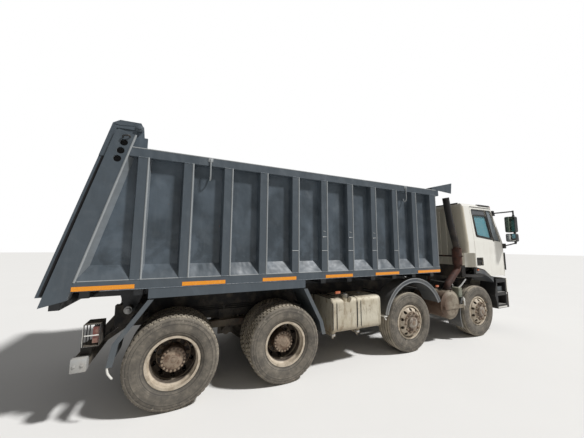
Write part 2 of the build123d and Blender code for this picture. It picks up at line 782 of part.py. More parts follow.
arm = side_plate([(gate_line(arm_low, -gate_thickness), arm_low), (gate_line(arm_low), arm_low),
                  (gate_line(arm_bend), arm_bend + 30), (gate_pivot_x - 40, gate_pivot_height - 32),
                  (gate_pivot_x + 30, gate_pivot_height - 32), (gate_pivot_x + 45, gate_pivot_height + 10),
                  (gate_pivot_x + 15, gate_pivot_height + 66), (gate_line(gate_top, 10), gate_top + 55),
                  (gate_line(gate_top, -gate_thickness), gate_top + 10)],
                 arm_outer - gate_arm_thickness, arm_outer)
arm = arm - rod_y(gate_pivot_x, gate_pivot_height, gate_pivot_radius + wheel_play, 900, 1300)
save("tailgate", fused([gate] + both(arm)))

# Hoist
hoist_dx = hoist_eye_x - hoist_base_x
hoist_dz = hoist_eye_height - hoist_base_height
hoist_closed = hypot(hoist_dx, hoist_dz)
hoist_angle = degrees(atan2(hoist_dz, hoist_dx))


def on_hoist(shape):
    """Lay a piece that was made along X on the hoist's line at rest."""
    return Pos(hoist_base_x, 0, hoist_base_height) * Rot(0, -hoist_angle, 0) * shape


stage_1_radius = hoist_barrel_radius - hoist_wall - hoist_sliding_gap
stage_2_radius = stage_1_radius - hoist_stage_wall - hoist_sliding_gap
barrel = rod_x(0, 0, hoist_barrel_radius, -60, hoist_barrel_length)
barrel = barrel - rod_x(0, 0, hoist_barrel_radius - hoist_wall, 50, hoist_barrel_length + 1)
barrel = barrel - rod_y(0, 0, hoist_pin_radius + wheel_play, -200, 200)
stage_1 = rod_x(0, 0, stage_1_radius, 52, hoist_barrel_length + 25)
stage_1 = stage_1 - rod_x(0, 0, stage_1_radius - hoist_stage_wall, 60, hoist_barrel_length + 40)
stage_2 = rod_x(0, 0, stage_2_radius, 62, hoist_barrel_length + 50)
stage_2 = stage_2 + rod_x(0, 0, 34, hoist_barrel_length + 40, hoist_closed)
eye = rod_y(hoist_closed, 0, 38, -32, 32) - rod_y(hoist_closed, 0, 22, -40, 40)
stage_2 = (stage_2 - rod_y(hoist_closed, 0, 30, -40, 40)) + eye
save("hoist_barrel", on_hoist(barrel))
save("hoist_stage_1", on_hoist(stage_1))
save("hoist_stage_2", on_hoist(stage_2))


# Cab
def eased(radius, inset):
    """A corner's radius after the faces beside it moved in by a distance."""
    return max(radius - inset, 5)


def cab_plan(inset, z):
    """The cab's plan at a height, moved in by one distance, with rounded corners."""
    share = max(0, (z - cab_shoulder) / (cab_roof - cab_shoulder))
    nose = cab_front - share * cab_roof_front_setback - inset + form_margin
    half = cab_half_width - share * (cab_half_width - cab_roof_half_width) - inset + form_margin
    rear = cab_rear + inset - form_margin
    nose_round = eased(nose_round_low - share * (nose_round_low - nose_round_high), inset)
    rear_round = eased(rear_corner_round, inset)
    return outline([(rear, -half, z), (nose, -half, z), (nose, half, z), (rear, half, z)],
                   [rear_round, nose_round, nose_round, rear_round])


def corner_cut(inset):
    """The wedge missing at the cab's lower rear corner on the left, moved in by one distance."""
    length = hypot(corner_cut_depth, corner_cut_width)
    run = corner_cut_depth / length
    rise = corner_cut_width / length
    x = cab_rear + rise * inset
    y = cab_half_width - corner_cut_width - run * inset
    reach = 600
    return floor_shape([(x - reach * run, y - reach * rise), (x + reach * run, y + reach * rise),
                        (x - reach * run, y + reach * rise)], cab_bottom - 50, corner_cut_top + inset)


def cab_form(inset, bottom):
    """The cab's outer form, moved in by one distance all round and cut at a height."""
    nose = cab_front - inset
    top = cab_roof - inset
    half = cab_half_width - inset
    roof_half = cab_roof_half_width - inset
    side = side_plate([(cab_rear + inset, bottom), (cab_rear + inset, top),
                       (nose - cab_roof_front_setback, top), (nose, cab_shoulder), (nose, bottom)],
                      -cab_half_width - 50, cab_half_width + 50,
                      [0, eased(rear_edge_round, inset), eased(roof_front_round, inset),
                       eased(shoulder_round, inset), 0])
    low = bottom - form_margin
    high = top + form_margin
    front = front_plate([(-half, low), (-half, cab_shoulder), (-roof_half, high), (roof_half, high),
                         (half, cab_shoulder), (half, low)], cab_rear - 50, cab_front + 50,
                        [0, side_shoulder_round, eased(roof_edge_round, inset),
                         eased(roof_edge_round, inset), side_shoulder_round, 0])
    levels = (low - form_margin, cab_shoulder, cab_roof + 50)
    corners = loft([cab_plan(inset, z) for z in levels], ruled=True)
    form = side & front & corners
    return form - corner_cut(inset) - left_of(corner_cut(inset))


def layer(outer, inner):
    """A skin of the cab between two depths below its outer face."""
    return cab_form(outer, cab_bottom) - cab_form(inner, cab_bottom - 10)


shell = layer(0, cab_wall)
glass_layer = layer(glass_depth, glass_depth + glass_thickness)
frame_layer = layer(0, glass_depth - seat_gap)
side_reach = cab_half_width + 80
roof_zone = block(cab_rear - 50, cab_front + 50, -side_reach, side_reach, cab_split, cab_roof + 50)
rear_zone = block(cab_rear - 50, cab_rear + cab_wall, -side_reach, side_reach, cab_bottom - 5, cab_split)
front_line = cab_front - door_front_setback
slope_top = cab_front - cab_roof_front_setback * (cab_split - cab_shoulder) / (cab_roof - cab_shoulder)
door_top_front = slope_top - door_top_setback
door_rear = cab_rear + door_rear_setback
arch_z = cab_bottom + arch_step_height
front_zone = side_plate([(front_line + 70, cab_bottom - 5), (front_line + 70, cab_shoulder),
                         (door_top_front + 30, cab_split), (cab_front + 400, cab_split),
                         (cab_front + 400, cab_bottom - 5)], -side_reach, side_reach)

screen_high = cab_split - 80
screen = [(-screen_half_low, screen_low), (screen_half_low, screen_low),
          (screen_half_high, screen_high), (-screen_half_high, screen_high)]
screen_cut = front_plate(screen, cab_front - 600, cab_front + 100, 60)


def door_outline(gap):
    """The door in the side view, larger by a gap all round."""
    sill = cab_bottom + door_sill
    return [(door_rear - gap, arch_z - gap), (door_rear + 290, arch_z - 60 - gap),
            (door_rear + 520, sill - gap), (front_line + gap, sill - gap),
            (front_line + gap, cab_shoulder - 20), (door_top_front + gap, cab_split - door_gap),
            (door_rear - gap, cab_split - door_gap)]


def through_side(points, radii=0):
    """A cutter through the cab's left side, from a side view outline."""
    return side_plate(points, cab_half_width - 320, side_reach, radii)


left_zone = block(cab_rear + cab_wall, cab_front + 50, cab_half_width - 220, side_reach,
                  cab_bottom - 5, cab_split)
left_shell = (shell & left_zone) - front_zone
door_left = left_shell & through_side(door_outline(0))
side_frame = left_shell - through_side(door_outline(door_gap)) - screen_cut
side_frame = side_frame - block(cab_rear - 60, door_rear + 560, cab_half_width - 320, side_reach,
                                cab_bottom - 10, arch_z)
window = [(door_rear + 90, window_low), (door_rear + 50, cab_split - 50), (slope_top - 85, cab_split - 50),
          (front_line - 70, window_front_low)]
door_left = door_left - through_side(window, window_round)
divider_high = axle_1 + 512
divider_low = axle_1 + 652
divider = [(divider_high, cab_split - 40), (divider_high + divider_width, cab_split - 40),
           (divider_low + divider_width, window_front_low), (divider_low, window_front_low)]
door_left = door_left + (frame_layer & through_side(divider))
handle_x = door_rear + 40
handle_z = arch_z + 40
door_left = door_left - block(handle_x, handle_x + 220, cab_half_width - 25, side_reach,
                              handle_z, handle_z + 160)
door_left = door_left + block(handle_x + 20, handle_x + 200, cab_half_width - 26, cab_half_width - 8,
                              handle_z + 70, handle_z + 100)
glass_left = glass_layer & through_side(window, window_round)
save("door_left", door_left)
save("door_right", left_of(door_left))
save("door_glass_left", glass_left)
save("door_glass_right", left_of(glass_left))
save("cab_sides", both(side_frame))

# Rear wall with upright ribs, open over the engine tunnel and the wheels
bay_half = tunnel_half - tunnel_wall
rear_wall = shell & rear_zone
wall_cut = (cab_rear - 10, cab_rear + 300)
for y0, y1, high in ((cab_half_width - 60, side_reach, arch_z), (-side_reach, 60 - cab_half_width, arch_z),
                     (-bay_half, bay_half, tunnel_top - tunnel_wall)):
    rear_wall = rear_wall - block(*wall_cut, y0, y1, cab_bottom - 10, high)
rib_count = 13
rib_depth = 14
rib_half = wall_rib_width / 2
for number in range(rib_count):
    y = (number - (rib_count - 1) / 2) * wall_rib_pitch
    rib = floor_shape([(cab_rear + 2, y - rib_half - 10), (cab_rear - rib_depth, y - rib_half),
                       (cab_rear - rib_depth, y + rib_half), (cab_rear + 2, y + rib_half + 10)],
                      tunnel_top + 40, cab_split - 60)
    rear_wall = rear_wall + rib
save("cab_rear_wall", rear_wall)

# Roof with a raised hatch
hatch_x = cab_rear + 430
hatch = floor_shape([(hatch_x, -290), (hatch_x + 500, -290), (hatch_x + 500, 290), (hatch_x, 290)],
                    cab_roof - 2, cab_roof + 24, 50)
save("cab_roof", (shell & roof_zone) + hatch)

# Front panel with the grille's cuts and the windscreen
front_panel = (shell & front_zone) - roof_zone
front_panel = front_panel - screen_cut
grille_low = cab_bottom + 60
grille_pitch = (cab_shoulder - 120 - grille_low) / grille_bars
for number in range(grille_bars):
    z0 = grille_low + number * grille_pitch
    front_panel = front_panel - block(cab_front - grille_depth, cab_front + 50, -grille_half, grille_half,
                                      z0, z0 + grille_pitch - grille_bar_height)
save("cab_front_panel", front_panel)
ahead_of_doors = side_plate([(front_line - 300, cab_shoulder), (cab_front + 50, cab_shoulder),
                             (cab_front + 50, cab_split - 40), (slope_top - 200, cab_split - 40)],
                            -side_reach, side_reach)
save("windscreen", glass_layer & screen_cut & ahead_of_doors)

# Floor with the engine's tunnel and the pivot lugs
cabin_base = cab_bottom + cab_wall
floor_slab = cab_form(cab_wall, cab_bottom - 10) & block(cab_rear, cab_front, -side_reach, side_reach,
                                                         cab_bottom, cabin_base)
tunnel_front = engine_front + 90
engine_bay = block(cab_rear, tunnel_front - tunnel_wall, -bay_half, bay_half,
                   cab_bottom - 20, tunnel_top - tunnel_wall)
tunnel = block(cab_rear + cab_wall, tunnel_front, -tunnel_half, tunnel_half, cab_bottom, tunnel_top)
cab_floor = (floor_slab + tunnel) - engine_bay
lug_front = cab_front - cab_wall - 6
for y0 in (rail_outer + 10, -rail_outer - 40):
    lug = side_plate([(cab_pivot_x - 150, cab_bottom + 20), (cab_pivot_x - 40, cab_pivot_z - 30),
                      (cab_pivot_x + 36, cab_pivot_z - 30), (cab_pivot_x + 36, cab_pivot_z + 30),
                      (lug_front, cab_bottom - 20), (lug_front, cab_bottom + 20)], y0, y0 + 30)
    cab_floor = cab_floor + lug
cab_floor = cab_floor - rod_y(cab_pivot_x, cab_pivot_z, cab_pivot_radius + wheel_play, -700, 700)
save("cab_floor", cab_floor)


def seat(y):
    """A seat: stand, cushion, back and head rest in one form."""
    x = cab_rear + cab_wall + 120
    z = cabin_base
    stand = block(x + 120, x + 460, y - 160, y + 160, z, z + 250)
    cushion = side_plate([(x + 40, z + 240), (x + 560, z + 240), (x + 560, z + 400), (x + 40, z + 370)],
                         y - 245, y + 245, 40)
    back = side_plate([(x, z + 330), (x + 140, z + 330), (x + 75, z + 940), (x - 20, z + 940)],
                      y - 235, y + 235, 30)
    head = side_plate([(x - 12, z + 930), (x + 66, z + 930), (x + 50, z + 1130), (x - 24, z + 1130)],
                      y - 140, y + 140, 20)
    return fused([stand, cushion, back, head])


save("seats", both(seat(driver_y)))

# Dashboard on two feet, with the steering wheel
dash_x = cab_front - cab_wall - 24
dash_half = 1080
dash_high = cab_shoulder + 20
dash = side_plate([(dash_x - 330, dash_high - 260), (dash_x - 300, dash_high - 60), (dash_x - 110, dash_high),
                   (dash_x, dash_high - 30), (dash_x, dash_high - 460), (dash_x - 200, dash_high - 460)],
                  -dash_half, dash_half)
wheel_tilt = Rot(0, -38, 0)
wheel_place = Pos(dash_x - 440, driver_y, dash_high - 38) * wheel_tilt
column = Pos(dash_x - 360, driver_y, dash_high - 140) * wheel_tilt * Cylinder(26, 260)
dash = dash + (column + wheel_place * Torus(220, 15) + wheel_place * Box(50, 430, 14))
feet = [block(dash_x - 160, dash_x, y - 60, y + 60, cabin_base, dash_high - 450) for y in (-980, 980)]
save("dashboard", fused([dash] + feet))

# Wheel arches below the doors, part of the cab
arch_outer = cab_half_width - 4
clearance = rod_y(axle_1, hub_height, 800, 0, side_reach)
arch_ring = rod_y(axle_1, hub_height, 900, cab_half_width - 430, arch_outer) - clearance
arch_band = arch_ring & block(axle_1 - 120, step_rear - step_gap, 0, side_reach,
                              hub_height + 430, cab_bottom)
lip = side_plate([(door_rear - 20, cab_bottom - 5), (door_rear - 20, arch_z - 2 * door_gap - 6),
                  (door_rear + 286, arch_z - 62 - 2 * door_gap), (door_rear + 505, cab_bottom - 5)],
                 cab_half_width - 50, arch_outer) - clearance
save("cab_arches", both(arch_band + lip))


def strut(start, end, radius):
    """A round bar between two points."""
    way = Vector(*end) - Vector(*start)
    return Solid.make_cylinder(radius, way.length, Plane(origin=start, z_dir=way))


def door_line(z):
    """The door's sloping front edge beside the windscreen, at a height."""
    share = (z - (cab_shoulder - 20)) / (cab_split - door_gap - (cab_shoulder - 20))
    return front_line + share * (door_top_front - front_line)


def mirror_set():
    """Main and wide-angle mirrors on a tube arm, on the left."""
    x = cab_front - 50
    y = mirror_middle
    arm_y = y + 60
    pad_low = cab_split - 160
    pad_high = cab_split - 40
    side_y = cab_half_width - 90
    high_pad = side_plate([(door_line(pad_low) + 14, pad_low), (door_line(pad_low) + 54, pad_low),
                           (door_line(pad_high) + 54, pad_high), (door_line(pad_high) + 14, pad_high)],
                          side_y, cab_half_width - 24)
    low_pad = block(cab_front - 122, cab_front - 72, side_y, cab_half_width + 34, 1880, 1970)
    fitted = (high_pad + low_pad) - cab_form(-seat_gap, cab_bottom)
    middle = cab_split - 100
    arm = strut((door_line(middle) + 34, cab_half_width - 34, middle), (x, arm_y, cab_split - 70), 15)
    lower = strut((cab_front - 100, cab_half_width + 20, 1925), (x, arm_y, 1990), 13)
    stem = rod_z(x, arm_y, 16, 1970, cab_split - 50)
    housings = []
    for z0, z1 in ((mirror_low, mirror_high), (small_mirror_low, small_mirror_high)):
        housings.append(front_plate([(y - mirror_half, z0), (y + mirror_half, z0),
                                     (y + mirror_half, z1), (y - mirror_half, z1)],
                                    x - 40, x - 40 + mirror_depth, mirror_round))
    return fused([arm, fitted, lower, stem] + housings)


save("mirrors", both(mirror_set()))

# Bumper, open at its top and back, with lamp buckets and a slot
bumper_rear = front_face - bumper_depth
outer_corner = [(bumper_rear, cab_half_width), (front_face - bumper_end_depth, cab_half_width),
                (front_face, cab_half_width - bumper_end_width)]
inner_corner = [(bumper_rear - 1, cab_half_width - bumper_wall),
                (front_face - bumper_end_depth - bumper_wall / 2, cab_half_width - bumper_wall),
                (front_face - bumper_wall, cab_half_width - bumper_end_width - bumper_wall / 2)]


def bumper_shape(corner, low, high):
    """The bumper's plan from its left corner points, rounded at the bends."""
    right = [(x, -y) for x, y in corner]
    return floor_shape(right + corner[::-1], low, high, [0, 60, 90, 90, 60, 0])


bumper = bumper_shape(outer_corner, bumper_low, bumper_high)
bumper = bumper - bumper_shape(inner_corner, bumper_low - 1, bumper_high + 1)
lamp_hole = block(front_face - 105, front_face + 50, 760, 1010, 700, 860)
bucket = block(front_face - 118, front_face - bumper_wall, 740, 1030, 680, 880)
bumper = (bumper + bucket + left_of(bucket)) - lamp_hole - left_of(lamp_hole)
bumper = bumper - block(front_face - 60, front_face + 10, -560, 560, 640, 780)
for y0, y1 in ((rail_outer - 80, rail_outer - 10), (10 - rail_outer, 80 - rail_outer)):
    bumper = bumper + block(frame_front, front_face - bumper_wall + 1, y0, y1, rail_low - 60, rail_low + 60)
save("front_bumper", bumper)


def entry_step():
    """The step box under the door, with two treads, on the left."""
    outer = cab_half_width - 4
    inner = outer - step_depth
    box = side_plate([(step_rear + 54, bumper_low), (step_rear + 54, 640), (step_rear, 820),
                      (step_rear + 90, bumper_high), (step_front, bumper_high), (step_front, bumper_low)],
                     inner, outer, [20, 0, 0, 20, 0, 0])
    for z0, z1 in ((600, 800), (870, 1090)):
        box = box - block(step_rear + 105, step_front - 50, inner + 50, outer + 5, z0, z1)
    bracket = block(step_rear + 150, step_rear + 230, rail_outer, inner + 1, rail_low + 60, rail_low + 140)
    return box + bracket


save("entry_steps", both(entry_step()))


# Guards, tank, silencer and stack
def bent_guard(points, y0, y1):
    """A bent sheet with a flange along its outer edge."""
    t = guard_thickness
    sheet = side_plate(points + [(x + t, z) for x, z in reversed(points)], y0, y1)
    flange = side_plate([(x - guard_flange / 2, z) for x, z in points]
                        + [(x + guard_flange / 2, z) for x, z in reversed(points)], y1 - t, y1)
    return sheet + flange


def guard_arm(x, z, y0):
    return rod_y(x, z, 21, y0, guard_inner + 60)


rear_guard = bent_guard([(axle_4 - 270, 1270), (axle_4 - 580, 830), (axle_4 - 620, 600)],
                        guard_inner, bed_half_width)
rear_guard = rear_guard + guard_arm(axle_4 - 515, 925, rail_outer + 24)
front_guard = bent_guard([(axle_3 + 294, 1270), (axle_3 + 554, 780), (axle_3 + 600, 590)],
                         guard_inner, bed_half_width)
front_guard = front_guard + guard_arm(axle_3 + 484, 920, rail_outer)
save("tandem_mudguards", both(rear_guard) + both(front_guard))


def wing(x, z, inner_radius, start, end, y0, y1, lip=14):
    """A curved wing about an axle, between two angles from straight ahead."""
    sheet = rod_y(x, z, inner_radius + 8, y0, y1) - rod_y(x, z, inner_radius, y0 - 1, y1 + 1)
    edge = rod_y(x, z, inner_radius + lip, y1 - 12, y1) - rod_y(x, z, inner_radius, y1 - 13, y1 + 1)
    reach = 3000
    corners = [(x, z)]
    for angle in (start, (start + end) / 2, end):
        corners.append((x + reach * cos(radians(angle)), z + reach * sin(radians(angle))))
    return (sheet + edge) & side_plate(corners, y0 - 5, y1 + 5)


def wing_arm(x, z, inner_radius, way, height, y1):
    """A round arm from the rail to the wing's sheet, at a height."""
    along = sqrt((inner_radius + 4) ** 2 - (height - z) ** 2)
    return rod_y(x + way * along, height, 18, rail_outer, y1)


wing_x = axle_2 + 90
wing_z = hub_height + 35
wing_2 = wing(wing_x, wing_z, 700, 22, 167, 860, 1220, 45)
for way in (-1, 1):
    wing_2 = wing_2 + wing_arm(wing_x, wing_z, 700, way, rail_top - 45, 900)
wing_1 = wing(axle_1, hub_height, 634, 150, 205, 880, 1180)
wing_1 = wing_1 + wing_arm(axle_1, hub_height, 634, -1, rail_low + 25, 900)
save("fenders", both(wing_2) + both(wing_1))


def tank_section(x, grown):
    """The tank's rounded section, grown outwards by a strap's thickness."""
    y0 = tank_outer - tank_depth
    y1 = tank_outer + grown
    z0 = tank_low - grown
    z1 = tank_low + tank_height + grown
    return outline([(x, y0, z0), (x, y1, z0), (x, y1, z1), (x, y0, z1)], tank_round)


def hanger(x, width, arm_top, outer):
    """An L-shaped bearer: an upright on the rail, and an arm under what it carries."""
    upright = block(x - width / 2, x + width / 2, rail_outer, rail_outer + 55, arm_top - 60, rail_top - 60)
    arm = block(x - width / 2, x + width / 2, rail_outer, outer - 40, arm_top - 60, arm_top)
    bolt = rod_z(x, outer - 75, 13, arm_top - 95, arm_top - 59)
    return upright + arm + bolt


tank_x1 = tank_x0 + tank_length
strap_places = [tank_x0 + 46, tank_x0 + 515]
tank = extrude(tank_section(tank_x0, 0), amount=tank_length, dir=(1, 0, 0))
for x in strap_places:
    strap_section = tank_section(x - strap_width / 2, strap_thickness)
    tank = tank + extrude(strap_section, amount=strap_width, dir=(1, 0, 0))
    tank = tank + hanger(x, strap_width - 10, tank_low + 1, tank_outer)
tank_high = tank_low + tank_height
notch_x = tank_x0 + 295
tank = tank - side_plate([(notch_x - 120, tank_high + 10), (notch_x - 38, tank_high - 66),
                          (notch_x + 38, tank_high - 66), (notch_x + 120, tank_high + 10)],
                         tank_outer - 170, tank_outer + 10)
tank = tank + rod_z(notch_x, tank_outer - 90, 36, tank_high - 70, tank_high + 10)
tank = tank + rod_z(notch_x, tank_outer - 90, 50, tank_high + 10, tank_high + 52)
save("fuel_tank", left_of(tank))

# Battery box and air tank, on the left
box_x0 = tank_x1 - battery_length
box_low = tank_low + 90
box = block(box_x0, tank_x1, 640, tank_outer, box_low, tank_high - 60)
lid = side_plate([(box_x0 - 6, tank_high - 110), (tank_x1 + 6, tank_high - 110),
                  (tank_x1 + 6, tank_high - 52), (tank_x1 - 14, tank_high - 34),
                  (box_x0 + 14, tank_high - 34), (box_x0 - 6, tank_high - 52)], 632, tank_outer + 6)
battery = box + lid
for x in (box_x0 + 120, tank_x1 - 120):
    battery = battery + hanger(x, 60, box_low + 1, tank_outer)
air_tank_y = rail_outer + 330
air_tank_z = tank_low + 230
air_tank_x0 = tank_x0 - 110
air_tank = rod_x(air_tank_y, air_tank_z, 125, air_tank_x0, box_x0 - 20)
air_tank = fillet(air_tank.edges().filter_by(GeomType.CIRCLE), 35)
for x in (air_tank_x0 + 90, box_x0 - 90):
    air_tank = air_tank + block(x - 25, x + 25, rail_outer, air_tank_y, air_tank_z + 60, air_tank_z + 100)
    air_tank = air_tank + rod_x(air_tank_y, air_tank_z, 129, x - 20, x + 20)
save("battery_box", [battery, air_tank])

# Silencer across the frame, on the right, with its outlet and a strap over its end
drum_end = silencer_dome - silencer_outer
drum = rod_y(silencer_x, silencer_height, silencer_radius, drum_end, silencer_length - silencer_outer)
dome = Pos(silencer_x, drum_end, silencer_height) * Rot(90, 0, 0) * Cone(
    silencer_radius, silencer_radius - 70, silencer_dome, align=(Align.CENTER, Align.CENTER, Align.MIN))
drum = drum + dome
for y in (drum_end + 60, silencer_length - silencer_outer - 120):
    drum = drum + rod_y(silencer_x, silencer_height, silencer_radius + 6, y, y + 55)
outlet_x = silencer_x + outlet_offset
drum = drum + rod_z(outlet_x, -stack_half_track, outlet_radius, silencer_height, outlet_top)
drum = drum + block(silencer_x - 130, silencer_x + 130, silencer_length - silencer_outer - 1, -rail_outer,
                    rail_low + 10, rail_low + 120)
strap_z = silencer_height - 45
strap_y0 = -silencer_outer - 12
strap = block(silencer_x - 240, silencer_x + 375, strap_y0, 1 - silencer_outer, strap_z - 34, strap_z + 34)
strap = strap + block(silencer_x + 357, silencer_x + 375, strap_y0, 5 - silencer_outer,
                      strap_z - 70, strap_z + 90)
save("silencer", drum + strap)

# Exhaust stack with its lagged middle, a stay and a mast on the rail
stack_y = -stack_half_track
stack_x = silencer_x + stack_points[0][0]
stack_route = [(outlet_x, outlet_top + seat_gap), (outlet_x, outlet_top + 70)]
stack_route += [(silencer_x + forward, height) for forward, height in stack_points]
path = FilletPolyline(*[(x, stack_y, z) for x, z in stack_route], radius=stack_bend)
section = Plane(origin=path @ 0, z_dir=path % 0) * Circle(stack_radius)
stack = sweep(section, path=path)
stack = stack + rod_z(stack_x, stack_y, lagging_radius, 1520, 1860)
mast_y = 45 - rail_outer
stay = rod_y(stack_x, 1700, 18, stack_y + 40, mast_y)
mast = rod_z(stack_x, mast_y, 25, rail_top, 1720)
save("exhaust_stack", stack + stay + mast)

# Underrun bar with bearers, end brackets and the cages of the tail lamps
bar_x = axle_4 - 915
bar_half = 1120
bar_low = 560
bar_high = 680
bar = block(bar_x - 60, bar_x + 60, -bar_half, bar_half, bar_low, bar_high)
for y0, y1 in ((rail_outer - 60, rail_outer), (-rail_outer, 60 - rail_outer)):
    bar = bar + side_plate([(bar_x - 40, 600), (frame_rear + 60, rail_low - seat_gap),
                            (frame_rear + 160, rail_low - seat_gap), (bar_x + 55, 600)], y0, y1)
cage_x0 = bar_x + 15
cage_x1 = bar_x + 165
cage_y0 = 880
cage_y1 = bar_half
cage_low = 800
cage_high = 1030
cage_plate = 5


def lamp_cage():
    """A plate frame round the left tail lamp, open to the back, on a post of the bar."""
    cage = block(cage_x0, cage_x1, cage_y0, cage_y1, cage_low, cage_high)
    cage = cage - block(cage_x0 - 1, cage_x1 - cage_plate, cage_y0 - 1, cage_y1 + 1,
                        cage_low + cage_plate, cage_high - cage_plate)
    for y in (cage_y0, (cage_y0 + cage_y1 - 10) / 2, cage_y1 - 10):
        cage = cage + block(cage_x0, cage_x0 + 8, y, y + 10, cage_low + 1, cage_high - 1)
    post = block(bar_x - 25, cage_x0 + 60, cage_y0 + 70, cage_y0 + 120, bar_high - 1, cage_low + 1)
    return cage + post


def bar_end():
    """A plate bracket round the left end of the underrun bar."""
    outer = block(bar_x - 68, bar_x + 68, bar_half - 90, bar_half + 6, bar_low - 8, bar_high + 8)
    return outer - block(bar_x - 60, bar_x + 60, bar_half - 100, bar_half, bar_low, bar_high)


bar = fused([bar] + both(lamp_cage()) + both(bar_end()))
save("underrun_bar", bar)
tail_lamp = block(cage_x1 - cage_plate - 62, cage_x1 - cage_plate, cage_y0 + 14, cage_y1 - 14,
                  cage_low + 30, cage_high - 30)
head_lamp = block(front_face - 105, front_face - 20, 765, 1005, 705, 855)
save("lamps", both(tail_lamp) + both(head_lamp))
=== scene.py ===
import json
from math import cos, pi, radians, sin

import bmesh
import bpy
from mathutils import Matrix, Vector


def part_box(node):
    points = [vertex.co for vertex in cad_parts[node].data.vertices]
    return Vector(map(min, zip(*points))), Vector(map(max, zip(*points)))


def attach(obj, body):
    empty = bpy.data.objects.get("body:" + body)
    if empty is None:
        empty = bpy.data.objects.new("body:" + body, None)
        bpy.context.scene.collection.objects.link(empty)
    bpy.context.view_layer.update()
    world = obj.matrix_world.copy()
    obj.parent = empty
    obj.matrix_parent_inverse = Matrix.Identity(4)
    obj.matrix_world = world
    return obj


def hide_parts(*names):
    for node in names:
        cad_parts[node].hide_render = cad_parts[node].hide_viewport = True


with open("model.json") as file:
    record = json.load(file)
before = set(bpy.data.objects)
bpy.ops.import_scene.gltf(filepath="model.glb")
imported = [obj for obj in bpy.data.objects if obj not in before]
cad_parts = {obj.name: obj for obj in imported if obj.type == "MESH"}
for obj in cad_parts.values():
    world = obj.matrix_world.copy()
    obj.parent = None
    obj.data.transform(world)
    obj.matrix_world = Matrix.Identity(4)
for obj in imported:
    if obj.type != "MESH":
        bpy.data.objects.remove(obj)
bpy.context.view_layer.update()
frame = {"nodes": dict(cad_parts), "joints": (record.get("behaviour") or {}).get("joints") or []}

# Places read from the frame, in metres. X points forward, Y to the driver's left, Z up.
JOINTS = {joint["name"]: joint for joint in frame["joints"]}
SIDES = (("left", 1), ("right", -1))
LEFT_ONLY, RIGHT_ONLY = SIDES[:1], SIDES[1:]
AXLES = ("1", "2", "3", "4")
AXLE_X = {number: JOINTS[f"roll_{number}_left"]["pos_m"][0] for number in AXLES}
HUB_Y = {number: JOINTS[f"roll_{number}_left"]["pos_m"][1] for number in AXLES}
HUB_Z = JOINTS["roll_1_left"]["pos_m"][2]
AXLE_4 = AXLE_X["4"]
STEERED = ("1", "2")
TWIN_OFFSET = 0.170  # from the middle of a twin wheel place to each of its tyres
GATE_X, _, GATE_Z = JOINTS["tailgate_swing"]["pos_m"]
HINGE_X, _, HINGE_Z = JOINTS["bed_tip"]["pos_m"]


# Shader nodes
def math_node(operation, swapped=False):
    """A method of Wire that adds one Math node. Swapped puts the wire second."""
    def method(wire, other=0.0):
        inputs = {0: other, 1: wire} if swapped else {0: wire, 1: other}
        return wire.paint.add("ShaderNodeMath", {"operation": operation}, inputs)
    return method


class Wire:
    """One output of a node, with arithmetic that adds Math nodes."""

    def __init__(self, paint, socket):
        self.paint = paint
        self.socket = socket

    __add__ = math_node("ADD")
    __radd__ = math_node("ADD", swapped=True)
    __sub__ = math_node("SUBTRACT")
    __rsub__ = math_node("SUBTRACT", swapped=True)
    __mul__ = math_node("MULTIPLY")
    __pow__ = math_node("POWER")
    size = math_node("ABSOLUTE")
    most = math_node("MAXIMUM")
    least = math_node("MINIMUM")
    sine = math_node("SINE")

    def ramp(self, low, high):
        """From 0 at low to 1 at high, smooth and clamped. Low may be above high."""
        return self.paint.add("ShaderNodeMapRange", {"interpolation_type": "SMOOTHSTEP"},
                              {"Value": self, "From Min": low, "From Max": high})


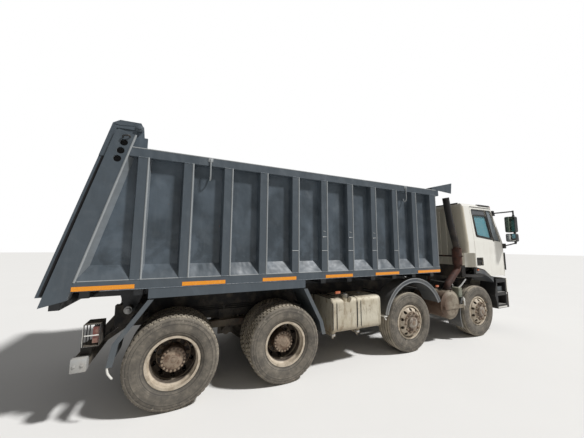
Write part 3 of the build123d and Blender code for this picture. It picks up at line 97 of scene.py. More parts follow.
class Paint:
    """A material under construction. Patterns lie on Object coordinates."""

    def __init__(self, name):
        self.material = bpy.data.materials.new(name)
        self.material.use_nodes = True
        self.tree = self.material.node_tree
        self.tree.nodes.clear()
        self.place = self.add("ShaderNodeTexCoord", {}, {}, "Object")
        self.x, self.y, self.z = self.split(self.place)
        normal = self.add("ShaderNodeTexCoord", {}, {}, "Normal")
        self.facing_x, self.facing_y, self.facing_z = self.split(normal)

    def add(self, kind, settings, inputs, output=0):
        """A node of a kind: its settings first, then the values or wires of its sockets."""
        node = self.tree.nodes.new(kind)
        for key, value in settings.items():
            setattr(node, key, value)
        for key, value in inputs.items():
            if isinstance(value, Wire):
                self.tree.links.new(value.socket, node.inputs[key])
            else:
                node.inputs[key].default_value = value
        return Wire(self, node.outputs[output])

    def split(self, wire):
        """The x, y and z of a place or a direction."""
        node = self.add("ShaderNodeSeparateXYZ", {}, {0: wire}).socket.node
        return [Wire(self, out) for out in node.outputs]

    def moved(self, stretch=(1, 1, 1), shift=(0, 0, 0)):
        """The place where a pattern is read, stretched and shifted."""
        return self.add("ShaderNodeMapping", {}, {0: self.place, "Location": shift, "Scale": stretch})

    def noise(self, scale, detail=4, roughness=0.55, stretch=(1, 1, 1), shift=(0, 0, 0), swirl=0):
        """Clouds between 0 and 1. Scale is about how many of them lie in a metre."""
        return self.add("ShaderNodeTexNoise", {},
                        {"Vector": self.moved(stretch, shift), "Scale": scale, "Detail": detail,
                         "Roughness": roughness, "Distortion": swirl})

    def cells(self, scale):
        """Distance to the nearest of many scattered points."""
        return self.add("ShaderNodeTexVoronoi", {}, {"Vector": self.moved(), "Scale": scale}, "Distance")

    def mix(self, share, a, b):
        """A colour between two colours."""
        a = (*a, 1) if isinstance(a, tuple) else a
        b = (*b, 1) if isinstance(b, tuple) else b
        return self.add("ShaderNodeMix", {"data_type": "RGBA"}, {"Factor": share, 6: a, 7: b}, 2)

    def radius(self, x, z):
        """Distance from a wheel's axis."""
        dx = self.x - x
        dz = self.z - z
        return (dx * dx + dz * dz) ** 0.5

    def finish(self, color, roughness, metallic=0.0, height=None, depth=0.002, coat=0.0, **constants):
        """Closes the material with one shader. Height is the bump, with its depth in metres."""
        inputs = {"Base Color": (*color, 1) if isinstance(color, tuple) else color,
                  "Roughness": roughness, "Metallic": metallic, "Coat Weight": coat}
        if height is not None:
            inputs["Normal"] = self.add("ShaderNodeBump", {}, {"Height": height, "Distance": depth,
                                                               "Strength": 1.0})
        inputs.update({key.replace("_", " "): value for key, value in constants.items()})
        shader = self.add("ShaderNodeBsdfPrincipled", {}, inputs)
        output = self.tree.nodes.new("ShaderNodeOutputMaterial")
        self.tree.links.new(shader.socket, output.inputs[0])
        return self.material


# Colours, as the surface shows them in plain light; some stand for painted shade, highlight and reflection,
# as noted where they are used
SLATE = (0.080, 0.102, 0.124)
SLATE_DEEP = (0.034, 0.046, 0.057)
SLATE_POSTS = (0.060, 0.075, 0.089)
SLATE_WEAR_AND_HIGHLIGHT = (0.30, 0.315, 0.32)
CREAM = (0.79, 0.775, 0.715)
WALL_BEIGE_AND_SHADE = (0.55, 0.505, 0.405)
CORNER_SHADE_AND_DUST = (0.33, 0.30, 0.235)
ROAD_DUST = (0.34, 0.285, 0.21)
GREY_DUST = (0.25, 0.235, 0.205)
PALE_FILM = (0.190, 0.208, 0.220)
MUD = (0.20, 0.15, 0.10)
RUST = (0.15, 0.058, 0.026)
RUST_DARK = (0.055, 0.026, 0.017)
SOOT = (0.016, 0.015, 0.015)
BARE_STEEL = (0.30, 0.29, 0.28)
FRAME_BLACK = (0.014, 0.014, 0.015)
PLASTIC = (0.024, 0.026, 0.028)
RUBBER = (0.034, 0.032, 0.030)
RIM_BEIGE = (0.50, 0.43, 0.335)
TANK_ALLOY = (0.56, 0.52, 0.42)
DULL_ALLOY = (0.49, 0.44, 0.335)
DRIED_MUD = (0.215, 0.160, 0.100)
TYRE_DUST = (0.225, 0.196, 0.155)
TREAD_SAND = (0.40, 0.35, 0.27)
RING_SHADE = (0.030, 0.027, 0.024)
SCRAPED_RUBBER = (0.34, 0.30, 0.24)
DISC_SHADE = (0.026, 0.016, 0.012)
DISC_STAIN = (0.085, 0.046, 0.029)
CAP_RING = (0.050, 0.030, 0.021)
REAR_CAP = ((0.28, 0.215, 0.155), (0.12, 0.074, 0.048))
FRONT_CAP = ((0.33, 0.30, 0.25), (0.14, 0.10, 0.075))
STACK_FOOT = ((0.026, 0.013, 0.010), (0.075, 0.026, 0.015))
STACK_TOP = ((0.020, 0.017, 0.015), (0.060, 0.046, 0.036))
STACK_FLAKE = (0.14, 0.085, 0.055)
DRUM_DUST = ((0.27, 0.235, 0.18), (0.15, 0.115, 0.08))
DRUM_RUST = (0.10, 0.055, 0.034)
GLASS_FILM = (0.30, 0.33, 0.32)
LOWER_BLACK = (0.020, 0.018, 0.017)


def bed_paint(name, inside=True, wear_and_highlight=0.0):
    """Dark slate paint, dented and dusty outside with painted reflection, highlight and shade, and scoured
    steel inside.
    """
    p = Paint(name)
    cloud = p.noise(1.3, 5, 0.6)
    patch = p.noise(4.6, 5, 0.62, swirl=0.5)
    fine = p.noise(38, 4, 0.6)
    streak = p.noise(3.0, 5, 0.65, stretch=(5.5, 5.5, 0.5))
    scratch = p.noise(7, 6, 0.72, stretch=(0.8, 1, 9), swirl=0.6).ramp(0.67, 0.72)
    sheen = p.noise(2.2, 3, 0.5, stretch=(1.3, 1, 0.9), shift=(2, 0, 4), swirl=0.4)
    # The posts and rails, which stand out of the panels
    outer = p.y.size().ramp(1.185, 1.235)
    # Painted reflection on the panels: the sheen clouds lighten them, and low down darker clouds darken
    # them.
    low = p.z.ramp(2.35, 1.65) * patch.ramp(0.42, 0.58) * 0.60
    color = p.mix((cloud.ramp(0.36, 0.62) * 0.4 + sheen.ramp(0.40, 0.62) * 0.6 - low).most(0.0),
                  SLATE_DEEP, SLATE)
    color = p.mix(outer, color, SLATE_POSTS)
    # Painted highlight: faces towards the front, such as the posts' front flanks, are lighter on the
    # outside.
    color = p.mix(p.facing_x.ramp(0.2, 0.8) * p.y.size().ramp(1.16, 1.17) * 0.40, color, SLATE_WEAR_AND_HIGHLIGHT)
    dust = (streak.ramp(0.50, 0.80) * 0.10 + patch.ramp(0.52, 0.74) * 0.10
            + p.facing_z.ramp(0.25, 0.9) * 0.27)
    dust = (dust * (0.5 + fine)).least(0.75)
    color = p.mix(dust, color, PALE_FILM)
    # Painted shade: black under the floor, where shade falls
    below = p.y.size().ramp(1.195, 1.185) * p.z.ramp(1.398, 1.392)
    color = p.mix(below * 0.85, color, FRAME_BLACK)
    # Scratches show worn paint; edge pieces get a share of light grey that is wear and painted highlight.
    color = p.mix((scratch * cloud.ramp(0.48, 0.60) * 0.45 + wear_and_highlight).least(1.0), color, SLATE_WEAR_AND_HIGHLIGHT)
    chip = p.noise(24, 3, 0.5).ramp(0.745, 0.765)
    color = p.mix(chip * 0.7, color, RUST)
    roughness = 0.36 + dust * 0.5 + patch * 0.10
    dent = (p.noise(2.1, 2, 0.4, stretch=(1.6, 1, 0.8)) * 1.3 + p.noise(5.5, 2, 0.4) * 0.55
            + p.noise(15, 2, 0.4) * 0.06)
    if inside:
        # Between the tub's walls, above its floor and behind its front wall
        hold = p.y.size().ramp(1.161, 1.157) * p.z.ramp(1.395, 1.402) * p.x.ramp(1.670, 1.667)
        wear = p.noise(4.0, 6, 0.65, stretch=(0.35, 1, 1.6), shift=(3, 1, 2))
        steel = p.mix(wear.ramp(0.35, 0.65), RUST, BARE_STEEL)
        steel = p.mix(p.noise(1.6, 5, 0.6, shift=(5, 0, 0)).ramp(0.42, 0.62) * 0.75, steel, ROAD_DUST)
        color = p.mix(hold, color, steel)
        roughness = roughness * (1 - hold) + hold * 0.62
    return p.finish(color, roughness, 0.0, dent + fine * 0.005, 0.026)


def weld_seam(name):
    """A painted weld with its ripples along the truck."""
    p = Paint(name)
    ripple = (p.x * 420 + p.z * 420).sine() * 0.5 + 0.5
    color = p.mix(p.noise(30, 4, 0.6).ramp(0.4, 0.7) * 0.6, SLATE, SLATE_WEAR_AND_HIGHLIGHT)
    return p.finish(color, 0.5, 0.0, ripple, 0.0015)


def cab_paint(name, dirt, base=CREAM, dark_below=0.0):
    """Paint with road dust that thickens low down, streaks of dirt, and painted shade on faces towards the
    rear. Dark_below is a height.
    """
    p = Paint(name)
    fine = p.noise(52, 4, 0.6)
    cloud = p.noise(2.4, 5, 0.6)
    streak = p.noise(4.5, 5, 0.65, stretch=(5, 5, 0.45))
    low = p.z.ramp(1.70, 1.15)
    dust = (low * 0.14 + streak.ramp(0.5, 0.78) * dirt + cloud.ramp(0.5, 0.75) * dirt * 0.7
            + p.facing_z.ramp(0.5, 1.0) * 0.18)
    dust = (dust * (0.5 + fine)).least(0.9)
    color = p.mix(dust, base, ROAD_DUST)
    # Painted shade: faces towards the rear turn darker beige.
    color = p.mix(p.facing_x.ramp(-0.35, -0.85) * (0.6 + streak * 0.4), color, WALL_BEIGE_AND_SHADE)
    # The cab's lower rear corner, behind the door: dust, and painted shade
    corner = p.x.ramp(2.985, 2.980) * p.z.ramp(1.768, 1.758) * p.y.size().ramp(1.10, 1.15)
    color = p.mix(corner * (0.55 + streak * 0.4), color, CORNER_SHADE_AND_DUST)
    color = p.mix(p.noise(27, 3, 0.5).ramp(0.75, 0.775) * 0.6, color, RUST)
    roughness = 0.30 + dust * 0.5
    if dark_below:
        # Near black below the height dark_below, with patches of mud.
        lower = p.z.ramp(dark_below + 0.004, dark_below - 0.004)
        lower_black = p.mix(cloud.ramp(0.40, 0.66) * 0.45, LOWER_BLACK, MUD)
        color = p.mix(lower, color, lower_black)
        roughness = roughness * (1 - lower) + lower * 0.7
    return p.finish(color, roughness, 0.0, cloud * 0.25 + fine * 0.01, 0.004, 0.15)


def dusty(name, base, dust_color=ROAD_DUST, dust=0.4, rough=0.6, metal=0.0, grain=90.0, depth=0.0006,
          low=0.35, high=0.95, rust=0.0, coat=0.0):
    """A plain finish with dust on top and low down, a fine grain and, if asked, rust."""
    p = Paint(name)
    fine = p.noise(grain, 3, 0.6)
    cloud = p.noise(5.0, 5, 0.62)
    settle = p.facing_z.ramp(0.2, 0.9) * 0.5 + p.z.ramp(high, low) * 0.5
    share = ((settle + cloud.ramp(0.40, 0.68) * 0.6) * dust * (0.5 + fine)).least(0.92)
    color = p.mix(share, base, dust_color)
    if rust:
        bloom = p.noise(9.0, 6, 0.68, shift=(4, 2, 1))
        color = p.mix(bloom.ramp(0.62 - rust * 0.3, 0.70) * rust, color, RUST)
    return p.finish(color, rough + share * (0.95 - rough), metal, fine + cloud * 2, depth, coat)


def tyre_rubber(name, x):
    """Grey dusty sidewall with fine rings and a pale, sandy tread."""
    p = Paint(name)
    r = p.radius(x, HUB_Z)
    fine = p.noise(70, 4, 0.65)
    cloud = p.noise(6.0, 5, 0.65)
    scuff = p.noise(16, 5, 0.7, shift=(7, 3, 2))
    wall = p.facing_y.size().ramp(0.35, 0.75)
    dust = (0.26 + cloud.ramp(0.32, 0.72) * 0.42 + scuff.ramp(0.46, 0.70) * 0.30) * wall
    shoulder = r.ramp(0.480, 0.500) * wall * 0.12
    tread = (1 - wall) * r.ramp(0.498, 0.512) * (0.45 + cloud.ramp(0.35, 0.6) * 0.5)
    color = p.mix((dust + shoulder).least(0.95), RUBBER, TYRE_DUST)
    color = p.mix((tread * (0.7 + fine * 0.6)).least(0.9), color, TREAD_SAND)
    for ring in (0.3120, 0.3405, 0.4425, 0.4775):
        line = (r - ring + scuff * 0.004 - 0.002).size().ramp(0.0055, 0.0015)
        color = p.mix(line * wall * 0.62, color, RING_SHADE)
    scrape = p.noise(34, 5, 0.75, shift=(1, 5, 9)).ramp(0.56, 0.64) * r.ramp(0.43, 0.47)
    color = p.mix(scrape * wall * 0.55, color, SCRAPED_RUBBER)
    rings = ((r * 900).sine() * 0.5 + 0.5) * r.ramp(0.455, 0.46) * r.ramp(0.492, 0.485)
    ribs = ((r * 380).sine() * 0.5 + 0.5) * r.ramp(0.335, 0.34) * r.ramp(0.375, 0.37)
    height = fine * 0.6 + scuff * 0.7 + rings * 0.35 * wall + ribs * 0.5 * wall
    return p.finish(color, 0.86, 0.0, height, 0.0016)


def rim_paint(name, x, deep):
    """Dirty beige rim with a rusty middle. A deep rim's disc behind its lip is near black, painted shade,
    and a shallow rim is black towards the truck's middle, painted shade too.
    """
    p = Paint(name)
    r = p.radius(x, HUB_Z)
    fine = p.noise(60, 4, 0.65)
    cloud = p.noise(9.0, 5, 0.65)
    dirt = cloud.ramp(0.42, 0.66) * 0.55 + fine.ramp(0.5, 0.75) * 0.25
    color = p.mix(dirt, RIM_BEIGE, MUD)
    if deep:
        # Painted shade: the disc deep behind the lip is near black.
        disc = r.ramp(0.262, 0.250)
        color = p.mix(disc * (0.88 + cloud.ramp(0.45, 0.6) * 0.10), color, DISC_SHADE)
        cap = r.ramp(0.146, 0.140)
        color = p.mix(cap, color, p.mix(cloud.ramp(0.40, 0.62), *REAR_CAP))
        color = p.mix(cap * r.ramp(0.108, 0.113) * 0.75, color, CAP_RING)
    else:
        stain = r.ramp(0.205, 0.175) * r.ramp(0.085, 0.115)
        color = p.mix(stain * (0.55 + cloud.ramp(0.45, 0.62) * 0.40), color, DISC_STAIN)
        cap = r.ramp(0.104, 0.098)
        color = p.mix(cap, color, p.mix(cloud.ramp(0.40, 0.62), *FRONT_CAP))
        # Painted shade: the parts towards the truck's middle are black.
        behind = p.y.size().ramp(1.085, 1.045)
        color = p.mix(behind * r.ramp(0.250, 0.235), color, FRAME_BLACK)
    return p.finish(color, 0.60 + dirt * 0.3, 0.0, fine + cloud, 0.0012)


def tank_alloy(name):
    """Dull aluminium under dried mud that has run down."""
    p = Paint(name)
    fine = p.noise(60, 4, 0.6)
    run = p.noise(3.4, 6, 0.62, stretch=(2.2, 2.2, 0.8), swirl=0.5)
    cloud = p.noise(3.6, 5, 0.6)
    slant = p.noise(5.0, 6, 0.66, stretch=(2.6, 2.2, 0.9), shift=(3, 0, 1), swirl=1.2)
    mud = (run.ramp(0.48, 0.70) * 0.55 + slant.ramp(0.52, 0.66) * 0.5 + p.z.ramp(0.72, 0.56) * 0.40
           + p.x.ramp(-0.20, -0.60) * 0.16)
    mud = (mud * (0.6 + fine * 0.7)).least(0.92)
    color = p.mix(cloud.ramp(0.35, 0.65), TANK_ALLOY, DULL_ALLOY)
    color = p.mix(mud, color, DRIED_MUD)
    return p.finish(color, 0.60 + mud * 0.3, 0.10, cloud * 1.6 + fine * 0.06, 0.008)


def exhaust_steel(name):
    """Dark rust below, brown grey above the lagging, and soot at the mouth."""
    p = Paint(name)
    fine = p.noise(60, 4, 0.65)
    cloud = p.noise(7.0, 5, 0.65)
    flake = p.noise(26, 5, 0.7)
    color = p.mix(cloud.ramp(0.35, 0.62), *STACK_FOOT)
    color = p.mix(p.z.ramp(1.86, 1.92), color, p.mix(cloud.ramp(0.38, 0.6), *STACK_TOP))
    color = p.mix(flake.ramp(0.60, 0.76) * 0.4, color, STACK_FLAKE)
    color = p.mix(fine.ramp(0.55, 0.75) * 0.4, color, RUST_DARK)
    color = p.mix(p.z.ramp(2.05, 2.40) * 0.94, color, SOOT)
    return p.finish(color, 0.72, 0.1, fine + cloud + flake, 0.0015)


def silencer_steel(name, x):
    """Aluminised drum under dust, rusted on its rear side."""
    p = Paint(name)
    fine = p.noise(60, 4, 0.65)
    cloud = p.noise(6.0, 5, 0.65)
    rear = (p.x - x + cloud * 0.25).ramp(0.06, -0.14)
    color = p.mix(cloud.ramp(0.4, 0.65), *DRUM_DUST)
    color = p.mix(rear * 0.85, color, DRUM_RUST)
    color = p.mix(p.noise(22, 5, 0.7).ramp(0.56, 0.72) * 0.5, color, RUST_DARK)
    return p.finish(color, 0.70, 0.1, fine + cloud, 0.0015)


def glass(name, tint, alpha, dirt):
    """Tinted glass that is partly see-through, with a smeared film of dust."""
    p = Paint(name)
    smear = p.noise(6, 4, 0.6, stretch=(1, 1, 0.5)).ramp(0.4, 0.8)
    return p.finish(p.mix(smear * dirt, tint, GLASS_FILM), 0.03 + smear * 0.14, Alpha=alpha,
                    Specular_IOR_Level=0.8)


def mirror_glass(name, tint):
    """A silvered glass with a film of dust."""
    p = Paint(name)
    film = p.noise(18, 4, 0.6).ramp(0.45, 0.8)
    return p.finish(p.mix(film * 0.3, tint, GREY_DUST), 0.05 + film * 0.25, 1.0 - film * 0.4)


def lens(name, color, cell=75.0, dirt=0.4):
    """A ribbed lamp lens or reflector film."""
    p = Paint(name)
    ribs = p.cells(cell)
    film = p.noise(14, 4, 0.6).ramp(0.45, 0.75) * dirt
    shade = p.mix(ribs.ramp(0.2, 0.7) * 0.35, color, tuple(c * 0.55 for c in color))
    return p.finish(p.mix(film, shade, ROAD_DUST), 0.25 + film * 0.5, 0.0, ribs, 0.001, 0.4)


def lamp_glass(name):
    """Brown red lenses at the back of the truck, clear ones with dark rims in front."""
    p = Paint(name)
    front = p.x.ramp(-0.1, 0.1)
    ribs = p.cells(75.0)
    film = p.noise(14, 4, 0.6).ramp(0.45, 0.75) * 0.5
    red = p.mix(ribs.ramp(0.2, 0.7) * 0.35, (0.15, 0.026, 0.017), (0.09, 0.017, 0.012))
    clear = p.mix(ribs.ramp(0.2, 0.7) * 0.35, (0.16, 0.165, 0.17), (0.10, 0.10, 0.105))
    color = p.mix(film, p.mix(front, red, clear), ROAD_DUST)
    return p.finish(color, 0.22 + film * 0.5, 0.0, ribs, 0.001, 0.4)


def fabric(name, color):
    """Woven seat cloth."""
    p = Paint(name)
    weave = (p.x * 1400).sine() * (p.z * 1400).sine()
    cloud = p.noise(12, 4, 0.6)
    return p.finish(p.mix(cloud * 0.5, color, tuple(c * 1.8 for c in color)), 0.92, 0.0,
                    weave + cloud, 0.0008)


def hoist_steel(name):
    """Ground steel with oily dust."""
    p = Paint(name)
    turn = p.noise(40, 3, 0.6, stretch=(0.3, 1, 1))
    oil = p.noise(5, 5, 0.6).ramp(0.45, 0.6)
    return p.finish(p.mix(oil * 0.7, (0.35, 0.34, 0.33), (0.05, 0.045, 0.04)), 0.3 + oil * 0.35, 0.8,
                    turn, 0.0004)


FINISHES = {
    "bed": bed_paint("bed_paint"),
    "bed_plain": bed_paint("bed_paint_plain", inside=False),
    # Light grey edge pieces: wear, and painted highlight on the bent edges.
    "bed_edge": bed_paint("bed_edge_worn", inside=False, wear_and_highlight=0.85),
    "weld": weld_seam("weld_seam"),
    "cab": cab_paint("cab_paint", 0.13),
    # The rear wall turns near black below 1.50 m, painted shade of the dark space under the cab.
    "cab_rear": cab_paint("cab_paint_rear", 0.75, WALL_BEIGE_AND_SHADE, 1.50),
    "bumper": cab_paint("bumper_paint", 0.30, dark_below=0.865),
    "frame": dusty("frame_paint", FRAME_BLACK, dust=0.40, rough=0.7, rust=0.18),
    "axle": dusty("axle_paint", FRAME_BLACK, dust=0.60, rough=0.8, rust=0.35),
    "spring": dusty("spring_steel", (0.03, 0.026, 0.022), dust=0.6, rough=0.7, rust=0.5),
    "engine": dusty("cast_iron", (0.07, 0.068, 0.065), dust=0.6, rough=0.7, rust=0.2),
    "plastic": dusty("black_plastic", PLASTIC, (0.17, 0.16, 0.14), dust=0.34, rough=0.5, grain=300),
    "step": dusty("step_plastic", (0.010, 0.010, 0.011), (0.09, 0.08, 0.07), dust=0.35, rough=0.6,
                  grain=300),
    "wing": dusty("fender_plastic", (0.050, 0.056, 0.064), (0.24, 0.225, 0.195), dust=0.50, rough=0.42,
                  grain=220, low=0.6, high=1.3),
    # Lighter grey on the wings' edges is painted highlight.
    "wing_edge": dusty("fender_edge", (0.20, 0.21, 0.22), (0.33, 0.31, 0.27), dust=0.5, rough=0.45,
                       grain=220),
    "inside_plastic": dusty("cab_plastic", (0.075, 0.075, 0.078), dust=0.12, rough=0.65, grain=420,
                            low=1.2, high=1.5),
    "smoked": dusty("smoked_panel", (0.105, 0.112, 0.122), GREY_DUST, dust=0.16, rough=0.10, grain=40,
                    depth=0.0002, coat=0.6),
    "guard": dusty("guard_paint", (0.070, 0.083, 0.094), GREY_DUST, dust=0.26, rough=0.5, rust=0.08),
    "light_grey": dusty("grey_casting", (0.34, 0.345, 0.34), dust=0.30, rough=0.5, rust=0.10),
    "box_green": dusty("grey_green_paint", (0.15, 0.17, 0.13), dust=0.35, rough=0.5, rust=0.15),
    "galvanised": dusty("light_metal", (0.50, 0.50, 0.49), dust=0.30, rough=0.38, metal=0.6, rust=0.10),
    "white_frame": dusty("white_paint", (0.66, 0.65, 0.61), dust=0.25, rough=0.5, rust=0.10),
    "nut": dusty("rusted_nut", (0.20, 0.15, 0.11), (0.36, 0.29, 0.21), dust=0.55, rough=0.65, metal=0.2,
                 grain=240, rust=0.45),
    "seal": dusty("window_seal", (0.010, 0.010, 0.010), dust=0.12, rough=0.5, grain=160),
    # Near black that stands for shade in the holes of the rear posts and the gaps beside the gate.
    "hollow": dusty("hollow_black", (0.004, 0.004, 0.005), dust=0.02, rough=0.9, grain=160),
    "tank": tank_alloy("tank_alloy"),
    "exhaust": exhaust_steel("exhaust_steel"),
    "glass": glass("window_glass", (0.045, 0.095, 0.100), 0.36, 0.22),
    # The door panes' light cyan tint is painted reflection of the sky.
    "door_glass": glass("door_window_glass", (0.115, 0.330, 0.390), 0.70, 0.35),
    "quarter": glass("quarter_glass", (0.225, 0.255, 0.275), 0.84, 0.3),
    # The main mirror's dark green tint is painted reflection.
    "mirror_dark": mirror_glass("mirror_silver", (0.16, 0.20, 0.16)),
    "mirror_light": mirror_glass("mirror_silver_bright", (0.62, 0.64, 0.64)),
    "amber": lens("amber_film", (0.84, 0.295, 0.001), 160.0, 0.08),
    "lamp_glass": lamp_glass("lamp_glass"),
    "orange": lens("marker_lens", (0.52, 0.13, 0.05)),
    "clear": lens("clear_lens", (0.62, 0.64, 0.64)),
    "seat": fabric("seat_cloth", (0.045, 0.047, 0.055)),
    "hoist": hoist_steel("hoist_steel"),
}
silencer_low, silencer_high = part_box("silencer")
FINISHES["silencer"] = silencer_steel("silencer_steel", (silencer_low.x + silencer_high.x) / 2)
for number in AXLES:
    FINISHES[f"tyre_{number}"] = tyre_rubber(f"tyre_rubber_{number}", AXLE_X[number])
    FINISHES[f"rim_{number}"] = rim_paint(f"rim_paint_{number}", AXLE_X[number], number not in STEERED)

# Finish of every node that stays
NODE_FINISH = {
    "bed": ["bed_floor", "bed_side_left", "bed_side_right", "bed_front_wall"],
    "bed_plain": ["tailgate", "cab_shield"],
    "guard": ["tandem_mudguards"],
    "cab": ["cab_roof", "cab_sides", "cab_front_panel", "door_left", "door_right"],
    "cab_rear": ["cab_rear_wall"],
    "bumper": ["front_bumper"],
    "inside_plastic": ["cab_floor", "dashboard"],
    "frame": ["chassis_frame", "tipping_subframe", "underrun_bar"],
    "axle": ["front_axles", "drive_axles", "knuckle_1_left", "knuckle_1_right", "knuckle_2_left",
             "knuckle_2_right"],
    "spring": ["springs"],
    "engine": ["powertrain"],
    "plastic": ["battery_box", "mirrors"],
    "step": ["entry_steps"],
    "wing": ["fenders", "cab_arches"],
    "glass": ["windscreen"],
    "door_glass": ["door_glass_left", "door_glass_right"],
    "tank": ["fuel_tank"],
    "exhaust": ["exhaust_stack"],
    "silencer": ["silencer"],
    "amber": ["side_reflectors"],
    "lamp_glass": ["lamps"],
    "hoist": ["hoist_barrel", "hoist_stage_1", "hoist_stage_2"],
}
for number in AXLES:
    plural = "" if number in STEERED else "s"
    NODE_FINISH[f"rim_{number}"] = [f"rim{plural}_{number}_{side}" for side, _ in SIDES]
for finish, nodes in NODE_FINISH.items():
    for node in nodes:
        frame["nodes"][node].data.materials.clear()
        frame["nodes"][node].data.materials.append(FINISHES[finish])


# Mesh tools
def piece(name, bm, finish, body, smooth):
    """Makes a bmesh a finished piece that rides on a body. Smooth is an angle in degrees."""
    mesh = bpy.data.meshes.new(name)
    bm.to_mesh(mesh)
    bm.free()
    mesh.materials.append(FINISHES[finish])
    mesh.shade_smooth()
    mesh.set_sharp_from_angle(angle=radians(smooth))
    thing = bpy.data.objects.new(name, mesh)
    bpy.context.scene.collection.objects.link(thing)
    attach(thing, body)
    return thing


def lathe(bm, profile, x, y, z, side, steps):
    """Turns (out, radius) corners about a Y axis. Out is away from the truck's middle."""
    verts = [bm.verts.new((x, y + side * out, z + radius)) for out, radius in profile]
    edges = [bm.edges.new(pair) for pair in zip(verts, verts[1:])]
    bmesh.ops.spin(bm, geom=verts + edges, cent=(x, y, z), axis=(0, 1, 0), angle=2 * pi, steps=steps,
                   use_merge=True, use_normal_flip=False)


def closed_up(bm):
    """Joins corners that lie on each other, and turns every face outwards."""
    bmesh.ops.remove_doubles(bm, verts=bm.verts, dist=1e-5)
    bmesh.ops.recalc_face_normals(bm, faces=bm.faces)


def add_box(bm, low, high, bevel):
    """A box between two corners, with its edges bevelled."""
    low, high = Vector(low), Vector(high)
    made = bmesh.ops.create_cube(bm, size=1.0, matrix=Matrix.Translation((low + high) / 2)
                                 @ Matrix.Diagonal((*(high - low), 1)))
    if bevel:
        edges = list({edge for vert in made["verts"] for edge in vert.link_edges})
        bmesh.ops.bevel(bm, geom=edges, offset=bevel, segments=2, profile=0.5, affect="EDGES", material=-1)


def add_rod(bm, start, end, radius, segments=20, end_radius=None, bevel=0.0):
    """A round bar, or a cone, between two points."""
    start, end = Vector(start), Vector(end)
    way = end - start
    turn = way.to_track_quat("Z", "Y").to_matrix().to_4x4()
    made = bmesh.ops.create_cone(bm, cap_ends=True, segments=segments, radius1=radius,
                                 radius2=radius if end_radius is None else end_radius,
                                 depth=way.length, matrix=Matrix.Translation((start + end) / 2) @ turn)
    if bevel:
        rim_edges = [edge for edge in {e for v in made["verts"] for e in v.link_edges}
                     if any(len(face.verts) > 4 for face in edge.link_faces)]
        bmesh.ops.bevel(bm, geom=rim_edges, offset=bevel, segments=2, profile=0.5, affect="EDGES",
                        material=-1)


# Tyres
TYRE_RADIUS = 0.525
FLOOR_GAP = 0.0005
TREAD_DEPTH = 0.014
BEAD_RADIUS = 0.2865
TYRE_STEPS = 96
LUG_COUNT = 54
LUG_SHIFT = 0.003
LUG_HEIGHT = 0.020
SHOULDER_DROP = 0.007
SHOULDER_DRAW = 0.86
# Rows of lugs: place across the tyre, width, and length as a share of the pitch
TREAD_ROWS = {
    "road": [(-0.116, 0.036, 1.0), (-0.060, 0.044, 1.0), (0.0, 0.044, 1.0), (0.060, 0.044, 1.0),
             (0.116, 0.036, 1.0)],
    "grip": [(-0.1105, 0.050, 0.62), (-0.036, 0.060, 0.70), (0.036, 0.060, 0.70), (0.1105, 0.050, 0.62)],
}


def add_lug(bm, x, y, side, middle, width, length, angle):
    """One lug of the tread. On the outer rows its shoulder is lower and drawn in."""
    base = TYRE_RADIUS - TREAD_DEPTH + LUG_SHIFT
    place = Matrix.Translation((x, y, HUB_Z)) @ Matrix.Rotation(angle, 4, "Y")
    made = bmesh.ops.create_cube(
        bm, size=1.0, matrix=place @ Matrix.Translation((0, side * middle, base))
        @ Matrix.Diagonal((length, width, LUG_HEIGHT, 1)))
    tops = [v for v in made["verts"] if (v.co - Vector((x, v.co.y, HUB_Z))).length > base + 0.001]
    for vert in tops:
        across = vert.co.y - y - side * middle
        shoulder = abs(middle) > 0.1 and across * side * middle > 0
        radius = TYRE_RADIUS - FLOOR_GAP - (SHOULDER_DROP if shoulder else 0.0)
        out = Vector((vert.co.x - x, 0, vert.co.z - HUB_Z)).normalized() * radius
        vert.co = Vector((x + out.x, vert.co.y, HUB_Z + out.z))
        if shoulder:
            vert.co.y = y + side * middle + across * SHOULDER_DRAW


def add_tyre(bm, x, y, side, lug_style):
    """One tyre: a rounded carcass with a bead line, and lugs out to the full radius."""
    outer_wall = [(0.112, BEAD_RADIUS), (0.113, 0.300), (0.121, 0.306), (0.130, 0.318), (0.133, 0.326),
                  (0.136, 0.328), (0.147, 0.352), (0.1545, 0.385), (0.156, 0.412), (0.1545, 0.438),
                  (0.1555, 0.441), (0.1545, 0.446), (0.150, 0.468), (0.146, 0.485), (0.1475, 0.488),
                  (0.1465, 0.494), (0.141, 0.504), (0.134, TYRE_RADIUS - TREAD_DEPTH)]
    profile = [(-out, radius) for out, radius in outer_wall] + outer_wall[::-1]
    lathe(bm, profile + [profile[0]], x, y, HUB_Z, side, TYRE_STEPS)
    pitch = 2 * pi / LUG_COUNT
    for row, (middle, width, share) in enumerate(TREAD_ROWS[lug_style]):
        for lug in range(LUG_COUNT):
            add_lug(bm, x, y, side, middle, width, TYRE_RADIUS * pitch * share,
                    (lug + 0.5 * (row % 2)) * pitch)


for number in AXLES:
    steered = number in STEERED
    for side_name, side in SIDES:
        bm = bmesh.new()
        offsets = [0.0] if steered else [TWIN_OFFSET, -TWIN_OFFSET]
        for offset in offsets:
            add_tyre(bm, AXLE_X[number], side * (HUB_Y[number] + offset), side,
                     "road" if steered else "grip")
        closed_up(bm)
        tyre_node = f"tyre_{number}_{side_name}" if steered else f"tyres_{number}_{side_name}"
        tyre = piece(f"tread_{number}_{side_name}", bm, f"tyre_{number}", f"wheel_{number}_{side_name}",
                     35)
        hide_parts(tyre_node)


# Small shapes for the trim
ARC_STEPS = 40
TRIM_SMOOTH = 40


def add_block(bm, side, x, y, z, bevel=0.003):
    """A block on one side of the truck, from spans of x, distance from the middle, and height."""
    near, far = sorted((side * y[0], side * y[1]))
    add_box(bm, (x[0], near, z[0]), (x[1], far, z[1]), bevel)


